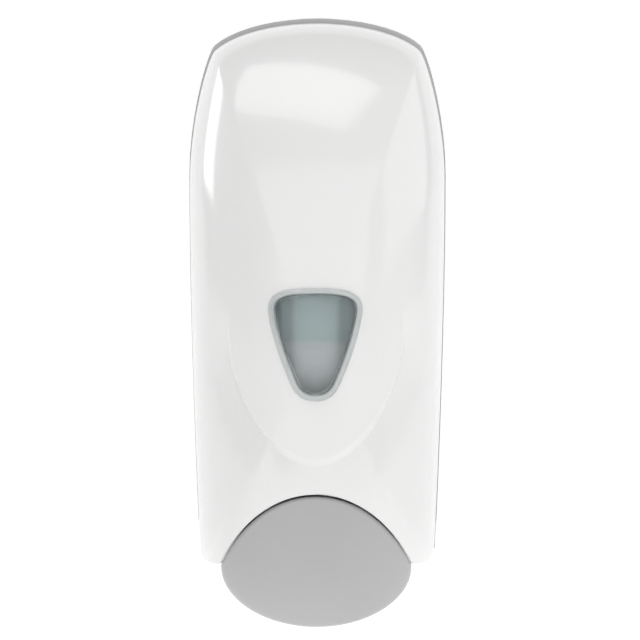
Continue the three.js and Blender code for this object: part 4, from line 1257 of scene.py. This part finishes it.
@dataclass
class Studio:
    """Pale floor, white surroundings, softboxes and the camera."""

    azimuth: float = 0.6
    elevation: float = 4.0
    distance: float = 2.4
    field_width: float = 0.3015
    aim: tuple = (0.0015, -0.055, 0.0007)
    surround: float = 0.45
    floor_reach: float = 4.0
    floor_drop: float = 0.14
    backdrop_start: float = 3.2
    backdrop_bend: float = 1.2
    backdrop_height: float = 5.0
    floor_glow: float = 0.42
    boxes: tuple = (
        Softbox("strip_left", (-0.95, 0.50, 0.45), (0, -0.06, 0.03), 0.42, 0.7, 3.2),
        Softbox("broad_right", (1.0, -0.05, 0.42), (0, -0.06, 0.05), 1.5, 0.8, 3.3),
        Softbox("top", (-0.15, -0.35, 1.1), (0, -0.06, 0.03), 0.9, 0.6, 4.2),
        Softbox("front", (0.3, -2.9, 0.7), (0, -0.06, 0.0), 3.0, 3.0, 26.0),
    )

    def make(self) -> None:
        """Build the studio."""
        for box in self.boxes:
            box.make()
        self._world()
        self._floor()
        self._camera()
        bpy.context.scene.view_settings.view_transform = "Standard"

    def _world(self) -> None:
        """White surroundings."""
        world = bpy.data.worlds.new("studio")
        world.use_nodes = True
        back = world.node_tree.nodes["Background"]
        back.inputs["Color"].default_value = (1.0, 1.0, 1.0, 1.0)
        back.inputs["Strength"].default_value = self.surround
        bpy.context.scene.world = world

    def _floor(self) -> None:
        """A wide pale floor under the dispenser, with its far side turned up as a backdrop."""
        reach, start, bend = self.floor_reach, self.backdrop_start, self.backdrop_bend
        count = 9
        across = np.linspace(-reach, reach, count)
        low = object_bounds()[0].z - self.floor_drop
        turn = np.linspace(0.0, math.pi / 2, 16)
        y = joined([[-reach, start], start + bend * np.sin(turn), [start + bend]])
        z = joined([[low, low], low + bend * (1 - np.cos(turn)), [low + self.backdrop_height]])
        grid = np.stack(np.broadcast_arrays(across[None], y[:, None], z[:, None]), axis=-1)
        r, c = np.meshgrid(np.arange(len(y) - 1), np.arange(count - 1), indexing="ij")
        at = r * count + c
        faces = np.stack([at, at + 1, at + count + 1, at + count], -1).reshape(-1, 4)
        mesh = bpy.data.meshes.new("floor")
        mesh.from_pydata(grid.reshape(-1, 3).tolist(), [], faces.tolist())
        smoothed(mesh)
        made = placed("floor", mesh)
        g = Graph("pale_floor")
        cloud = g.noise(300.0, 2.0)
        made.data.materials.append(
            g.surface(
                Base_Color=cloud.mix((0.93, 0.93, 0.93), (0.95, 0.95, 0.95)),
                Roughness=0.8,
                Emission_Color=cloud.mix((0.98, 0.98, 0.98), (1.0, 1.0, 1.0)),
                Emission_Strength=self.floor_glow,
            )
        )
        made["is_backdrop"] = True

    def _camera(self) -> None:
        """A long lens a little above the dispenser's middle."""
        data = bpy.data.cameras.new("view")
        data.sensor_width = 36.0
        data.lens = 36.0 * self.distance / self.field_width
        data.clip_end = 20.0
        made = placed("view", data)
        a, e = math.radians(self.azimuth), math.radians(self.elevation)
        back = Vector((math.sin(a) * math.cos(e), -math.cos(a) * math.cos(e), math.sin(e)))
        made.location = Vector(self.aim) + back * self.distance
        made.rotation_mode = "QUATERNION"
        made.rotation_quaternion = (-back).to_track_quat("-Z", "Y")
        bpy.context.scene.camera = made


def spring_part() -> None:
    """Give the pump spring, which deforms with the pump, its finish in its own slots."""
    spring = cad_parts["pump_spring"]
    spring.data.materials.clear()
    spring.data.materials.append(finish_of(Slot.STEEL))


def main() -> None:
    """Build every piece in order, then the studio."""
    logging.basicConfig(level=logging.INFO)
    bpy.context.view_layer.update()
    form = Form.from_frame()
    arch_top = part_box("push_lever")[1].z / MM
    lens = WindowLens(form)
    for made in (
        lens.make(),
        FrontCover(form).make(lens.outline, arch_top),
        PushLever(form).make(arch_top),
        Bottle(form).make(),
        *(Carried(name, slot, body).make() for slot, body, names in CARRIED for name in names.split()),
    ):
        LOG.info("%s: %d faces", made.name, len(made.data.polygons))
    spring_part()
    Studio().make()


if __name__ == "__main__":
    main()
